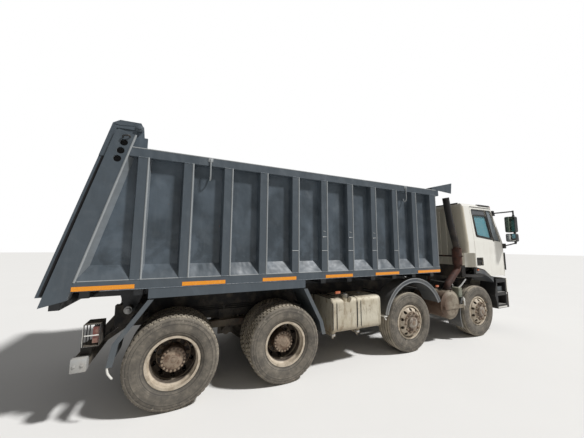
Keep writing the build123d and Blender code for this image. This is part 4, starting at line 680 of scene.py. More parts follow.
def add_bolt(bm, foot, way, radius, height, washer=0.0):
    """A hexagon head, on a washer if asked, standing on a face."""
    foot, way = Vector(foot), Vector(way).normalized()
    if washer:
        add_rod(bm, foot, foot + way * 0.003, washer, 16)
    add_rod(bm, foot, foot + way * height, radius, 6, bevel=radius * 0.12)


def add_bar(bm, points, radius, bend=0.03):
    """A stiff round bar along points, bent at each point between its ends."""
    route = [Vector(points[0])]
    for before, corner, after in zip(points, points[1:], points[2:]):
        for other, share in ((before, 1.6), (before, 1.0), (after, 1.0), (after, 1.6)):
            route.append(Vector(corner) + (Vector(other) - Vector(corner)).normalized() * bend * share)
    route.append(Vector(points[-1]))
    curve = bpy.data.curves.new("bar", "CURVE")
    curve.dimensions = "3D"
    curve.bevel_depth = radius
    curve.bevel_resolution = 2
    curve.resolution_u = 5
    curve.use_fill_caps = True
    spline = curve.splines.new("NURBS")
    spline.points.add(len(route) - 1)
    for point, place in zip(spline.points, route):
        point.co = (*place, 1)
    spline.order_u = 3
    spline.use_endpoint_u = True
    holder = bpy.data.objects.new("bar", curve)
    mesh = bpy.data.meshes.new_from_object(holder)
    bm.from_mesh(mesh)
    bpy.data.objects.remove(holder)
    bpy.data.curves.remove(curve)
    bpy.data.meshes.remove(mesh)


def rounded_face(bm, corners, radius):
    """A flat face with its corners rounded."""
    verts = [bm.verts.new(corner) for corner in corners]
    bm.faces.new(verts)
    if radius:
        bmesh.ops.bevel(bm, geom=verts, offset=radius, segments=5, profile=0.5, affect="VERTICES",
                        material=-1)


def poured(bm, part):
    """Adds a part built on its own to bm."""
    closed_up(part)
    mesh = bpy.data.meshes.new("part")
    part.to_mesh(mesh)
    part.free()
    bm.from_mesh(mesh)
    bpy.data.meshes.remove(mesh)


def thickened(bm, part, thick):
    """Gives every face of a flat part its thickness, and adds the part to bm."""
    made = bmesh.ops.extrude_face_region(part, geom=part.faces[:])
    moved = [item for item in made["geom"] if isinstance(item, bmesh.types.BMVert)]
    bmesh.ops.translate(part, verts=moved, vec=thick)
    poured(bm, part)


def add_plate(bm, corners, thick, radius=0.0, ring=0.0):
    """A flat plate with rounded corners, as thick as a vector. Ring is the width left round an opening."""
    part = bmesh.new()
    rounded_face(part, corners, radius)
    if ring:
        inner = part.faces[:]
        bmesh.ops.inset_region(part, faces=inner, thickness=ring, use_even_offset=True, use_boundary=True)
        bmesh.ops.delete(part, geom=inner, context="FACES_ONLY")
    thickened(bm, part, thick)


def add_surround(bm, outer, inner, thick, outer_radius, inner_radius):
    """A flat plate between two outlines."""
    part = bmesh.new()
    rounded_face(part, outer, outer_radius)
    rounded_face(part, inner, inner_radius)
    bmesh.ops.delete(part, geom=part.faces[:], context="FACES_ONLY")
    bmesh.ops.bridge_loops(part, edges=part.edges[:])
    thickened(bm, part, thick)


def upright(x, side, y, z):
    """Corners of an upright face across the truck, from spans of distance from the middle and height."""
    return [(x, side * y[0], z[0]), (x, side * y[1], z[0]), (x, side * y[1], z[1]), (x, side * y[0], z[1])]


def swept(bm, verts, cent, axis, angle, steps):
    """Turns a flat face about an axis."""
    faces = {face for vert in verts for face in vert.link_faces}
    edges = {edge for vert in verts for edge in vert.link_edges}
    bmesh.ops.spin(bm, geom=verts + list(edges) + list(faces), cent=cent, axis=axis, angle=angle,
                   steps=steps)


def add_arc(bm, x, y, z, radius, start, end, thickness):
    """A round bead along an arc about a Y axis. Angles run from straight ahead upwards."""
    place = (Matrix.Translation((x, y, z)) @ Matrix.Rotation(-radians(start), 4, "Y")
             @ Matrix.Translation((radius, 0, 0)))
    made = bmesh.ops.create_circle(bm, cap_ends=True, segments=8, radius=thickness, matrix=place)
    swept(bm, made["verts"], (x, y, z), (0, -1, 0), radians(end - start), ARC_STEPS)


def add_band(bm, x, y, z, radii, start, end):
    """A flat band along an arc about a Y axis, between two radii and two values of y."""
    middle, width = (radii[0] + radii[1]) / 2, radii[1] - radii[0]
    made = bmesh.ops.create_grid(bm, x_segments=1, y_segments=1, size=0.5, matrix=(
        Matrix.Translation((x, (y[0] + y[1]) / 2, z)) @ Matrix.Rotation(-radians(start), 4, "Y")
        @ Matrix.Translation((middle, 0, 0)) @ Matrix.Diagonal((width, abs(y[1] - y[0]), 1, 1))))
    swept(bm, made["verts"], (x, 0, z), (0, -1, 0), radians(end - start), ARC_STEPS)


def trim(name, finish, body, *makers, sides=SIDES):
    """One piece for each side of the truck, from makers that add shapes to a bmesh for a side."""
    for side_name, side in sides:
        bm = bmesh.new()
        for make in makers:
            make(bm, side)
        closed_up(bm)
        piece(f"{name}_{side_name}", bm, finish, body.format(side=side_name), TRIM_SMOOTH)


# Wheel nuts, studs, cap bolts and valves
NUT_CIRCLE, NUT_COUNT = 0.1675, 10
CAP_BOLT_CIRCLE, CAP_BOLT_COUNT = 0.126, 18
HUB_BOLT_CIRCLE, HUB_BOLT_COUNT = 0.0855, 8
VALVE_CIRCLE = 0.236
# How far the nuts' seats lie out from the middle of a wheel place
FRONT_FACE, REAR_FACE = 0.170, 0.012


def round_hub(number, side, out, radius, share):
    """A point beside a wheel's hub, at a share of a turn."""
    angle = 2 * pi * share
    return Vector((AXLE_X[number] + radius * cos(angle), side * (HUB_Y[number] + out),
                   HUB_Z + radius * sin(angle)))


for number in AXLES:
    steered = number in STEERED
    face = FRONT_FACE if steered else REAR_FACE
    for side_name, side in SIDES:
        way = Vector((0, side, 0))
        bm = bmesh.new()
        for nut in range(NUT_COUNT):
            foot = round_hub(number, side, face, NUT_CIRCLE, nut / NUT_COUNT)
            add_bolt(bm, foot, way, 0.0195, 0.0285, 0.0245)
            add_rod(bm, foot + way * 0.028, foot + way * 0.038, 0.0105, 12, bevel=0.002)
        if steered:
            for bolt in range(HUB_BOLT_COUNT):
                foot = round_hub(number, side, 0.2005, HUB_BOLT_CIRCLE, bolt / HUB_BOLT_COUNT)
                add_bolt(bm, foot, way, 0.0085, 0.0080)
        else:
            for bolt in range(CAP_BOLT_COUNT):
                foot = round_hub(number, side, 0.1955, CAP_BOLT_CIRCLE, bolt / CAP_BOLT_COUNT)
                add_bolt(bm, foot, way, 0.0125, 0.0175, 0.0150)
        closed_up(bm)
        piece(f"wheel_nuts_{number}_{side_name}", bm, "nut", f"wheel_{number}_{side_name}", 35)
        bm = bmesh.new()
        middle = round_hub(number, side, 0, 0, 0)
        if steered:
            lathe(bm, [(0.2140, 0), (0.2230, 0), (0.2225, 0.020), (0.2185, 0.038), (0.2140, 0.041),
                       (0.2140, 0)], middle.x, middle.y, HUB_Z, side, 32)
            lathe(bm, [(0.1900, 0.0950), (0.2000, 0.0950), (0.2010, 0.1010), (0.1970, 0.1040),
                       (0.1900, 0.1040), (0.1900, 0.0950)], middle.x, middle.y, HUB_Z, side, 48)
        else:
            lathe(bm, [(0.2140, 0), (0.2190, 0), (0.2180, 0.022), (0.2145, 0.028), (0.2160, 0.052),
                       (0.2120, 0.058), (0.2060, 0.058), (0.2060, 0)], middle.x, middle.y, HUB_Z, side, 32)
            lathe(bm, [(0.0120, 0.1900), (0.0160, 0.1900), (0.0160, 0.2030), (0.0120, 0.2030),
                       (0.0120, 0.1900)], middle.x, middle.y, HUB_Z, side, 48)
        valve = round_hub(number, side, face - 0.02, VALVE_CIRCLE, 0.14)
        add_rod(bm, valve, valve + way * 0.075, 0.0055, 10, bevel=0.001)
        add_rod(bm, valve + way * 0.062, valve + way * 0.080, 0.0080, 10, bevel=0.002)
        closed_up(bm)
        piece(f"hub_trim_{number}_{side_name}", bm, "nut", f"wheel_{number}_{side_name}", 35)


# Bed: edges painted light as wear and highlight, welds, hooks and the fittings of the rear posts
BED_HALF = 1.250
EDGE_OUT = BED_HALF - 0.004  # where a bead lies in a bent edge
LOWER_RAIL = (1.401, 1.507)
TOP_RAIL = (2.932, 3.042)
BED_FRONT = 1.7512
FRONT_POST, FRONT_POST_WIDTH = 1.7212, 0.165
POST_FRONTS = [1.1642 - 0.5 * number for number in range(10)]
POST_WIDTH = 0.108
POST_TOP = 3.190
ARM_OUT = 1.2215
ARM_FOOT_OUT = 1.200


def post_front(z):
    """The front edge of the leaning rear post."""
    return AXLE_4 - 1.030 + (z - 1.320) * 0.265


def post_edges(bm, side):
    """A bent edge along the front of every post, painted light as wear and painted highlight."""
    for x in POST_FRONTS + [FRONT_POST]:
        add_rod(bm, (x - 0.001, side * EDGE_OUT, LOWER_RAIL[1] - 0.004),
                (x - 0.001, side * EDGE_OUT, TOP_RAIL[0] + 0.004), 0.0110, 12)
    low, high = LOWER_RAIL[1] - 0.01, POST_TOP - 0.002
    add_rod(bm, (post_front(low) - 0.002, side * EDGE_OUT, low),
            (post_front(high) - 0.002, side * EDGE_OUT, high), 0.0120, 12)


def rail_edges(bm, side):
    """Rounded upper edges of the rails, painted light as wear and painted highlight."""
    out = side * EDGE_OUT
    add_rod(bm, (post_front(TOP_RAIL[1]) - 0.01, out, TOP_RAIL[1] - 0.003),
            (BED_FRONT, out, TOP_RAIL[1] - 0.003), 0.0075, 10)
    add_rod(bm, (post_front(LOWER_RAIL[1]) + 0.02, out, LOWER_RAIL[1] - 0.001),
            (BED_FRONT, out, LOWER_RAIL[1] - 0.001), 0.0060, 10)


def bed_welds(bm, side):
    """A long weld along the foot of the lower rail, and short ones where the posts meet the rails."""
    out = side * (BED_HALF + 0.0005)
    add_rod(bm, (post_front(1.40) + 0.25, out, LOWER_RAIL[0]), (BED_FRONT - 0.02, out, LOWER_RAIL[0]),
            0.0045, 8)
    for x in POST_FRONTS + [FRONT_POST]:
        width = FRONT_POST_WIDTH if x == FRONT_POST else POST_WIDTH
        for z in (LOWER_RAIL[1], TOP_RAIL[0]):
            add_rod(bm, (x - width, out, z), (x, out, z), 0.0045, 8)


def post_scars(bm, side):
    """Cross welds and scars where five posts were mended. The middle three have the scars."""
    out = side * (BED_HALF + 0.001)
    for number in range(1, 6):
        x = POST_FRONTS[number]
        add_rod(bm, (x - POST_WIDTH, out, 1.825), (x, out, 1.825), 0.0055, 8)
        if 2 <= number <= 4:
            add_rod(bm, (x - 0.092, out, 2.036), (x - 0.020, out, 2.041), 0.0085, 8, 0.004)
            add_rod(bm, (x - 0.080, out, 2.130), (x - 0.035, out, 2.118), 0.0060, 8, 0.003)


def cover_hooks(bm, side):
    """Bent rods under the top rail, for the ropes of a cover."""
    for x in (-2.6288, 0.9012):
        out = side * (BED_HALF + 0.010)
        end_x = x + 0.004
        add_bar(bm, [(x, side * (BED_HALF - 0.02), 3.030), (x, out, 3.030), (end_x, out, 2.760),
                     (end_x, side * (BED_HALF - 0.050), 2.735), (end_x, side * (BED_HALF - 0.062), 2.80)],
                0.009, 0.02)
        add_block(bm, side, (x - 0.030, x + 0.030), (BED_HALF - 0.004, BED_HALF + 0.006), (2.985, 3.035))


def lifting_loop(bm, side):
    """A loop over the holes of the rear post."""
    middle = post_front(3.155) - 0.085
    rear, front = middle - 0.035, middle + 0.035
    foot, top = side * (BED_HALF + 0.004), side * (BED_HALF + 0.030)
    add_bar(bm, [(rear, foot, 3.135), (rear, top, 3.150), (front, top, 3.165), (front, foot, 3.150)],
            0.009, 0.012)


def pin_ends(bm, side):
    """Washer and nut of the gate's pin."""
    pivot = Vector((GATE_X, side * 1.197, GATE_Z))
    way = Vector((0, side, 0))
    add_rod(bm, pivot + way * 0.026, pivot + way * 0.038, 0.036, 24, bevel=0.003)
    add_bolt(bm, pivot + way * 0.036, way, 0.024, 0.022)


def hole_shade_plates(bm, side):
    """Near black plates inside the holes of the rear posts, painted shade of the posts' insides."""
    for number in range(3):
        z = POST_TOP - 0.110 - number * 0.100
        x = post_front(z) - 0.0875
        add_rod(bm, (x, side * (BED_HALF - 0.040), z), (x, side * (BED_HALF - 0.030), z), 0.0397, 24)


def gate_cheeks(bm, side):
    """Boss and stiffener on each arm of the tailgate, and the plate below the arm."""
    foot = Vector((GATE_X, side * ARM_OUT, GATE_Z))
    add_rod(bm, foot, foot + Vector((0, side * 0.006, 0)), 0.046, 28, bevel=0.002)
    rear = post_front(3.30) - 0.213
    stiffener = [(rear - 0.050, 3.300), (rear + 0.015, 3.290), (GATE_X - 0.030, 3.312),
                 (GATE_X - 0.004, 3.346), (rear + 0.020, 3.344)]
    add_plate(bm, [(x, side * ARM_OUT, z) for x, z in stiffener], (0, side * 0.005, 0), 0.006)
    filler = [(post_front(3.195) - 0.235, 3.197), (GATE_X - 0.022, 3.197), (GATE_X - 0.022, 3.300),
              (rear - 0.02, 3.300)]
    add_plate(bm, [(x, side * ARM_FOOT_OUT, z) for x, z in filler], (0, side * 0.012, 0))


def gate_shadow_strips(bm, side):
    """Near black strips between the tailgate's ends and the rear posts, painted shadow in the gaps there.
    """
    low, high = 1.375, 3.150
    lip = [(post_front(low) - 0.214, low), (post_front(low) - 0.244, low),
           (post_front(high) - 0.244, high), (post_front(high) - 0.214, high)]
    add_plate(bm, [(x, side * 1.2145, z) for x, z in lip], (0, side * 0.005, 0))


trim("post_edge", "bed_edge", "bed", post_edges, rail_edges)
trim("bed_weld", "weld", "bed", bed_welds)
trim("post_scar", "bed_edge", "bed", post_scars, sides=RIGHT_ONLY)
trim("cover_hook", "bed_edge", "bed", cover_hooks)
trim("lifting_loop", "seal", "bed", lifting_loop)
trim("gate_pin_end", "bed_plain", "bed", pin_ends)
trim("gate_lip", "hollow", "gate", gate_shadow_strips)
trim("post_hole_back", "hollow", "bed", hole_shade_plates)
trim("gate_cheek", "bed_plain", "gate", gate_cheeks)


# Frame, guards, tank, exhaust and lamps
RAIL_OUT = 0.425
BAR_X = AXLE_4 - 0.915
WING_X, WING_Z = AXLE_X["2"] + 0.090, HUB_Z + 0.035
WING_ARC = (22.5, 166.5)
LAMP_OUT = 1.1185
# U bolts: heights of their ends, place of their middle across the truck, and half their width
FRONT_U_BOLTS = (0.372, 0.592, 0.385, 0.056)
REAR_U_BOLTS = (0.425, 0.625, 0.505, 0.058)


def hinge_ends(bm, side):
    """Round ends of the bed's hinge pin."""
    for start, end, radius in ((0.640, 0.655, 0.050), (0.650, 0.690, 0.032)):
        add_rod(bm, (HINGE_X, side * start, HINGE_Z), (HINGE_X, side * end, HINGE_Z), radius, 28,
                bevel=0.004)


def guard_hooks(bm, side):
    """Hooked ends under the rear guards, and the foot of the long wing."""
    x = AXLE_4 - 0.620
    hook = [(x - 0.012, 0.625), (x - 0.020, 0.560), (x + 0.012, 0.500), (x + 0.030, 0.482)]
    add_bar(bm, [(px, side * 1.236, pz) for px, pz in hook], 0.011, 0.02)
    foot = WING_X - 0.735
    add_block(bm, side, (foot - 0.020, foot + 0.045), (1.12, 1.215), (0.690, 0.715))
    add_bar(bm, [(foot + 0.010, side * 1.19, 0.70), (foot + 0.010, side * 1.19, 0.655),
                 (foot + 0.040, side * 1.19, 0.640)], 0.010, 0.015)


def wing_lips(bm, side):
    """Rolled edges of the round wings, and a band beside the outer one, in a lighter grey that is painted
    highlight.
    """
    add_arc(bm, WING_X, side * 1.214, WING_Z, 0.744, *WING_ARC, 0.0085)
    add_band(bm, WING_X, (side * 1.206, side * 1.216), WING_Z, (0.676, 0.742), *WING_ARC)
    add_arc(bm, AXLE_X["1"], side * 1.176, HUB_Z, 0.646, 150.5, 204.5, 0.0070)


def frame_bolts(bm, side):
    """Bolt heads along the rails, on the hangers and on the wing arms."""
    way = (0, side, 0)
    for number in range(27):
        x = -3.42 + number * 0.262
        for z in (0.842, 1.028):
            add_bolt(bm, (x, side * RAIL_OUT, z), way, 0.0125, 0.011, 0.0165)
    for x in (WING_X - 0.545, WING_X + 0.545):
        add_bolt(bm, (x, side * RAIL_OUT, 1.035), way, 0.017, 0.014, 0.040)


def axle_bolts(bm, side):
    """Long bolts that clamp the springs to the axles, and the plate that their nuts hold."""
    for number in AXLES:
        x = AXLE_X[number]
        low, high, middle, half = FRONT_U_BOLTS if number in STEERED else REAR_U_BOLTS
        for dx in (-0.060, 0.060) if number in STEERED else (-0.088, 0.088):
            for dy in (-half, half):
                y = side * (middle + dy)
                add_rod(bm, (x + dx, y, low), (x + dx, y, high), 0.0095, 12)
                add_bolt(bm, (x + dx, y, low), (0, 0, -1), 0.016, 0.018, 0.018)
        add_block(bm, side, (x - 0.11, x + 0.11), (middle - half - 0.02, middle + half + 0.02),
                  (low - 0.004, low + 0.010))


def rail_pipes(bm, side):
    """Stiff air pipes in clips along the outside of the rails."""
    y = side * (RAIL_OUT + 0.013)
    for z, radius in ((0.905, 0.0080), (0.935, 0.0060), (0.962, 0.0060)):
        add_rod(bm, (-3.45, y, z), (3.55, y, z), radius, 10)
    for number in range(14):
        x = -3.30 + number * 0.52
        add_block(bm, side, (x - 0.012, x + 0.012), (RAIL_OUT - 0.001, RAIL_OUT + 0.024),
                  (0.890, 0.975), 0.002)


def lamp_frames(bm, side):
    """Pale edges of the tail lamp cages."""
    rear, front = BAR_X + 0.015, BAR_X + 0.165
    low, high = 0.800, 1.030
    cage = [(rear, low), (front, low), (front, high), (rear, high)]
    add_plate(bm, [(x, side * LAMP_OUT, z) for x, z in cage], (0, side * 0.004, 0), 0, 0.014)
    add_plate(bm, upright(rear + 0.001, side, (0.880, 1.122), (low, high)), (-0.004, 0, 0), 0, 0.014)
    add_block(bm, side, (rear + 0.01, front - 0.01), (1.117, 1.121), (0.908, 0.920), 0.001)


def bar_brackets(bm, side):
    """Grey brackets on the ends of the underrun bar."""
    add_block(bm, side, (BAR_X - 0.070, BAR_X + 0.070), (1.028, 1.129), (0.550, 0.690), 0.006)
    for x in (BAR_X - 0.035, BAR_X + 0.035):
        add_bolt(bm, (x, side * 1.129, 0.62), (0, side, 0), 0.014, 0.010, 0.018)


def lamp_details(bm, side):
    """Dividing ribs of the tail lamps and rims of the headlamps."""
    x = BAR_X + 0.098
    for y in (0.950, 1.020):
        add_block(bm, side, (x - 0.006, x + 0.002), (y - 0.003, y + 0.003), (0.830, 1.0), 0.001)
    add_plate(bm, upright(4.221, side, (0.765, 1.005), (0.705, 0.855)), (0.006, 0, 0), 0.02, 0.012)
    add_block(bm, side, (4.216, 4.226), (0.925, 0.931), (0.71, 0.85), 0.001)


def head_lamp_glass(bm, side):
    """Round lenses in the headlamps."""
    add_rod(bm, (4.218, side * 0.845, 0.780), (4.228, side * 0.845, 0.780), 0.062, 32, 0.0496, 0.002)


def indicator(bm, side):
    """Orange lens beside each headlamp."""
    add_block(bm, side, (4.219, 4.229), (0.936, 0.992), (0.722, 0.838), 0.004)


trim("hinge_pin_end", "galvanised", "chassis", hinge_ends)
trim("guard_hook", "white_frame", "chassis", guard_hooks)
trim("wing_lip", "wing_edge", "chassis", wing_lips)
trim("frame_bolt", "frame", "chassis", frame_bolts)
trim("axle_bolt", "spring", "chassis", axle_bolts)
trim("rail_pipe", "seal", "chassis", rail_pipes)
trim("lamp_cage_edge", "white_frame", "chassis", lamp_frames)
trim("bar_bracket", "light_grey", "chassis", bar_brackets)
trim("lamp_detail", "seal", "chassis", lamp_details)
trim("head_lamp_glass", "clear", "chassis", head_lamp_glass)
trim("indicator", "orange", "chassis", indicator)

TANK_X = (-0.7338, 0.2362)
STRAPS_X = (-0.6878, -0.2188)
CAP_X, CAP_OUT = -0.4388, 1.110
CAP_RIBS = 18
SILENCER_X, SILENCER_Z = 2.1112, 0.735
STACK_X, STACK_OUT = 2.5512, 1.085
STEP_OUT = 1.216


def tank_seams(bm, side):
    """Rolled seams of the tank's ends."""
    for x in (TANK_X[0] + 0.010, TANK_X[1] - 0.022):
        add_plate(bm, upright(x, side, (0.5960, 1.2045), (0.546, 1.064)), (0.012, 0, 0), 0.074, 0.012)


def tank_cap(bm, side):
    """Ribbed filler cap with a grip across its top."""
    x, y = CAP_X, side * CAP_OUT
    add_rod(bm, (x, y, 1.110), (x, y, 1.122), 0.044, 28, 0.036, 0.003)
    for rib in range(CAP_RIBS):
        angle = 2 * pi * rib / CAP_RIBS
        foot = Vector((x + 0.050 * cos(angle), y + 0.050 * sin(angle), 1.064))
        add_rod(bm, foot, foot + Vector((0, 0, 0.046)), 0.0045, 8)
    add_block(bm, 1, (x - 0.030, x + 0.030), (y - 0.006, y + 0.006), (1.118, 1.132), 0.003)


def tank_bolts(bm, side):
    """Strap screws at the bearers, and the drain plug and level sender."""
    for x in STRAPS_X:
        add_bolt(bm, (x, side * 1.125, 0.490), (0, 0, -1), 0.018, 0.016, 0.022)
        add_block(bm, side, (x - 0.028, x + 0.028), (1.095, 1.165), (0.500, 0.530), 0.006)
    add_bolt(bm, (-0.05, side * 0.95, 0.550), (0, 0, -1), 0.020, 0.014, 0.026)
    add_bolt(bm, (0.05, side * 0.85, 1.060), (0, 0, 1), 0.030, 0.016, 0.042)


def strap_lining(bm, side):
    """Rubber lining on both sides of the tank's straps, near black, which is also painted shadow beside the
    straps.
    """
    for x in STRAPS_X:
        for edge in (-0.036, 0.036):
            route = [(0.640, 1.0630), (1.2030, 1.0630), (1.2030, 0.5470), (0.640, 0.5470)]
            add_bar(bm, [(x + edge, side * y, z) for y, z in route], 0.0085, 0.062)


def exhaust_clamps(bm, side):
    """Band clamps on the stack and on the silencer's outlet, each with its lug and bolt."""
    for x, z, radius in ((STACK_X, 1.512, 0.070), (STACK_X, 1.868, 0.070), (2.1562, 1.035, 0.080),
                         (STACK_X, 1.700, 0.096)):
        out = STACK_OUT + radius
        add_rod(bm, (x, side * STACK_OUT, z - 0.013), (x, side * STACK_OUT, z + 0.013), radius, 32,
                bevel=0.003)
        add_block(bm, side, (x - 0.016, x + 0.016), (out - 0.004, out + 0.028), (z - 0.012, z + 0.012))
        add_bolt(bm, (x + 0.016, side * (out + 0.014), z), (1, 0, 0), 0.009, 0.010)


def silencer_fittings(bm, side):
    """Bolts of the strap over the drum, and the rim of its end."""
    for x in (SILENCER_X - 0.215, SILENCER_X + 0.335):
        for z in (0.672, 0.708):
            add_bolt(bm, (x, side * 1.212, z), (0, side, 0), 0.011, 0.010, 0.015)
    rim = [(1.158, 0.268), (1.166, 0.268), (1.166, 0.284), (1.150, 0.284), (1.150, 0.276), (1.158, 0.268)]
    lathe(bm, rim, SILENCER_X, 0, SILENCER_Z, side, 56)


def canister(bm, side):
    """Pale canister on the end plate of the strap."""
    x, y = 2.512, side * 1.185
    add_rod(bm, (x, y, 0.690), (x, y, 0.835), 0.026, 24, bevel=0.006)
    add_rod(bm, (x, y, 0.835), (x, y, 0.860), 0.014, 16, bevel=0.003)
    add_block(bm, side, (2.484, 2.520), (1.155, 1.188), (0.730, 0.765))


def side_box(bm, side):
    """Grey green valve box behind the front wheel, on its arm from the rail."""
    add_block(bm, side, (2.415, 2.528), (1.000, 1.160), (0.850, 1.045), 0.012)
    add_rod(bm, (2.47, side * 0.42, 0.93), (2.47, side * 1.01, 0.93), 0.018, 16)
    for z in (0.885, 1.010):
        for x in (2.44, 2.505):
            add_bolt(bm, (x, side * 1.160, z), (0, side, 0), 0.008, 0.006, 0.012)


def cab_stay(bm, side):
    """Bent stay from the box up under the cab."""
    add_bar(bm, [(2.470, side * 1.120, 1.040), (2.530, side * 1.130, 1.070), (2.715, side * 1.130, 1.205)],
            0.015, 0.03)
    add_bar(bm, [(2.440, side * 1.020, 1.040), (2.440, side * 1.020, 1.120), (2.330, side * 0.60, 1.150)],
            0.012, 0.03)


def side_marker(bm, side):
    """Orange side marker lamps above the tank and in front of the long wing."""
    add_block(bm, side, (1.675, 1.755), (1.172, 1.202), (1.108, 1.146), 0.008)
    add_block(bm, side, (-0.640, -0.545), (1.130, 1.158), (1.135, 1.175), 0.008)


def marker_arm(bm, side):
    """Bent arms of the side markers."""
    add_bar(bm, [(-0.592, side * 0.42, 1.065), (-0.592, side * 1.05, 1.085), (-0.592, side * 1.132, 1.150)],
            0.011, 0.04)
    add_bar(bm, [(1.715, side * 0.42, 1.055), (1.715, side * 1.10, 1.055), (1.715, side * 1.175, 1.122)],
            0.011, 0.04)


trim("tank_seam", "tank", "chassis", tank_seams, sides=RIGHT_ONLY)
trim("tank_cap", "plastic", "chassis", tank_cap, sides=RIGHT_ONLY)
trim("tank_bolt", "galvanised", "chassis", tank_bolts, sides=RIGHT_ONLY)
trim("strap_lining", "seal", "chassis", strap_lining, sides=RIGHT_ONLY)
trim("exhaust_clamp", "exhaust", "chassis", exhaust_clamps, sides=RIGHT_ONLY)
trim("silencer_fitting", "silencer", "chassis", silencer_fittings, sides=RIGHT_ONLY)
trim("canister", "white_frame", "chassis", canister, sides=RIGHT_ONLY)
trim("valve_box", "box_green", "chassis", side_box, sides=RIGHT_ONLY)
trim("cab_stay", "galvanised", "chassis", cab_stay, sides=RIGHT_ONLY)
trim("side_marker", "orange", "chassis", side_marker)
trim("marker_arm", "frame", "chassis", marker_arm)


def battery_latches(bm, side):
    """Rubber latches and a handle on the battery box."""
    for x in (-0.30, 0.05):
        add_block(bm, side, (x - 0.020, x + 0.020), (1.200, 1.214), (0.86, 0.98), 0.004)
        add_block(bm, side, (x - 0.028, x + 0.028), (1.206, 1.222), (0.955, 0.985), 0.004)
    add_bar(bm, [(-0.20, side * 1.204, 0.995), (-0.20, side * 1.235, 1.000), (-0.05, side * 1.235, 1.000),
                 (-0.05, side * 1.204, 0.995)], 0.007, 0.015)


trim("battery_latch", "seal", "chassis", battery_latches, sides=LEFT_ONLY)


# Steps below the doors
def step_treads(bm, side):
    """Toothed tread strips in the step openings."""
    for z in (0.600, 0.870):
        for number in range(5):
            y = 1.205 - number * 0.030
            add_block(bm, side, (3.716, 4.010), (y - 0.008, y), (z, z + 0.010), 0.002)


def step_trim(bm, side):
    """Pale strip along the lower edge, and two pale screws."""
    add_block(bm, side, (3.690, 4.030), (STEP_OUT - 0.0005, STEP_OUT + 0.0035), (0.530, 0.562), 0.001)
    for z in (0.828, 0.850):
        add_bolt(bm, (4.042, side * STEP_OUT, z), (0, side, 0), 0.011, 0.008)


def step_box(bm, side):
    """Grey cover in the upper step opening."""
    add_block(bm, side, (3.760, 4.004), (1.100, 1.165), (0.880, 1.000), 0.010)


trim("step_tread", "galvanised", "chassis", step_treads)
trim("step_trim", "white_frame", "chassis", step_trim)
trim("step_box", "guard", "chassis", step_box)


# Cab
CAB_REAR, CAB_FRONT = 2.7112, 4.1762
CAB_HALF = 1.220
# Above the shoulder the sides and the windscreen lean in by these shares of the height
SHOULDER_Z = 2.0
SIDE_LEAN = 0.0795
SCREEN_LEAN = 0.4091
ROOF_Z = 2.904
PANE_DEPTH = 0.019
GLASS_THICK = 0.005
SKIN = 0.004
MIRROR_X = 4.0862
MAIN_MIRROR, SMALL_MIRROR = (2.243, 2.612), (2.025, 2.212)
WIPER_Z = 2.012


def on_door(x, z, out, side):
    """A point on the cab's side, which leans in above the shoulder."""
    return (x, side * (CAB_HALF - max(0.0, z - SHOULDER_Z) * SIDE_LEAN + out), z)


def door_outline(corners, out, side):
    """Corners of a plate on the cab's side."""
    return [on_door(x, z, out, side) for x, z in corners]


def on_screen(y, z, out):
    """A point on the leaning windscreen."""
    return (CAB_FRONT - (z - SHOULDER_Z) * SCREEN_LEAN + out, y, z)


WINDOW_RIM = [(3.0650, 2.123), (3.0240, 2.757), (3.7690, 2.757), (3.9810, 2.023)]
PANE_ZONE = [(3.0735, 2.134), (3.0335, 2.747), (3.5505, 2.747), (3.6815, 2.066)]
PANE_SEAL = [(3.1020, 2.133), (3.0610, 2.632), (3.5680, 2.632), (3.6785, 2.068)]
PANE = [(3.1360, 2.166), (3.0990, 2.598), (3.5410, 2.598), (3.6340, 2.105)]
DIVIDER = [(3.5495, 2.752), (3.5945, 2.752), (3.7330, 2.030), (3.6880, 2.030)]
QUARTER = [(3.5970, 2.746), (3.7620, 2.746), (3.9660, 2.035), (3.7360, 2.035)]
POCKET = [(3.0212, 1.500), (3.2412, 1.500), (3.2412, 1.660), (3.0212, 1.660)]
POCKET_LIP = [(3.0150, 1.494), (3.2474, 1.494), (3.2474, 1.666), (3.0150, 1.666)]


def window_outline(bm, side):
    """Rubber round the window opening, the thick seal of the pane, and the rubber on the divider."""
    skin = (0, side * SKIN, 0)
    add_plate(bm, door_outline(WINDOW_RIM, 0.0, side), skin, 0.036, 0.011)
    add_surround(bm, door_outline(PANE_SEAL, -0.016, side), door_outline(PANE, -0.016, side),
                 (0, side * 0.015, 0), 0.055, 0.040)
    add_plate(bm, door_outline(DIVIDER, -0.001, side), skin, 0.003)


def window_panel(bm, side):
    """Smoked panel round the pane."""
    add_surround(bm, door_outline(PANE_ZONE, -PANE_DEPTH, side), door_outline(PANE, -PANE_DEPTH, side),
                 (0, side * GLASS_THICK, 0), 0.025, 0.040)


def quarter_pane(bm, side):
    """Front quarter glass."""
    add_plate(bm, door_outline(QUARTER, -PANE_DEPTH, side), (0, side * GLASS_THICK, 0), 0.025)


def door_pocket(bm, side):
    """Black handle pocket with its lip and grip."""
    add_plate(bm, door_outline(POCKET, -0.0245, side), (0, side * 0.003, 0))
    add_plate(bm, door_outline(POCKET_LIP, 0.0, side), (0, side * 0.003, 0), 0.008, 0.009)
    add_block(bm, side, (3.036, 3.226), (1.208, 1.217), (1.562, 1.608), 0.003)


trim("window_seal", "seal", "{side}_door", window_outline)
trim("window_panel", "smoked", "{side}_door", window_panel)
trim("quarter_pane", "quarter", "{side}_door", quarter_pane)
trim("door_pocket", "seal", "{side}_door", door_pocket)


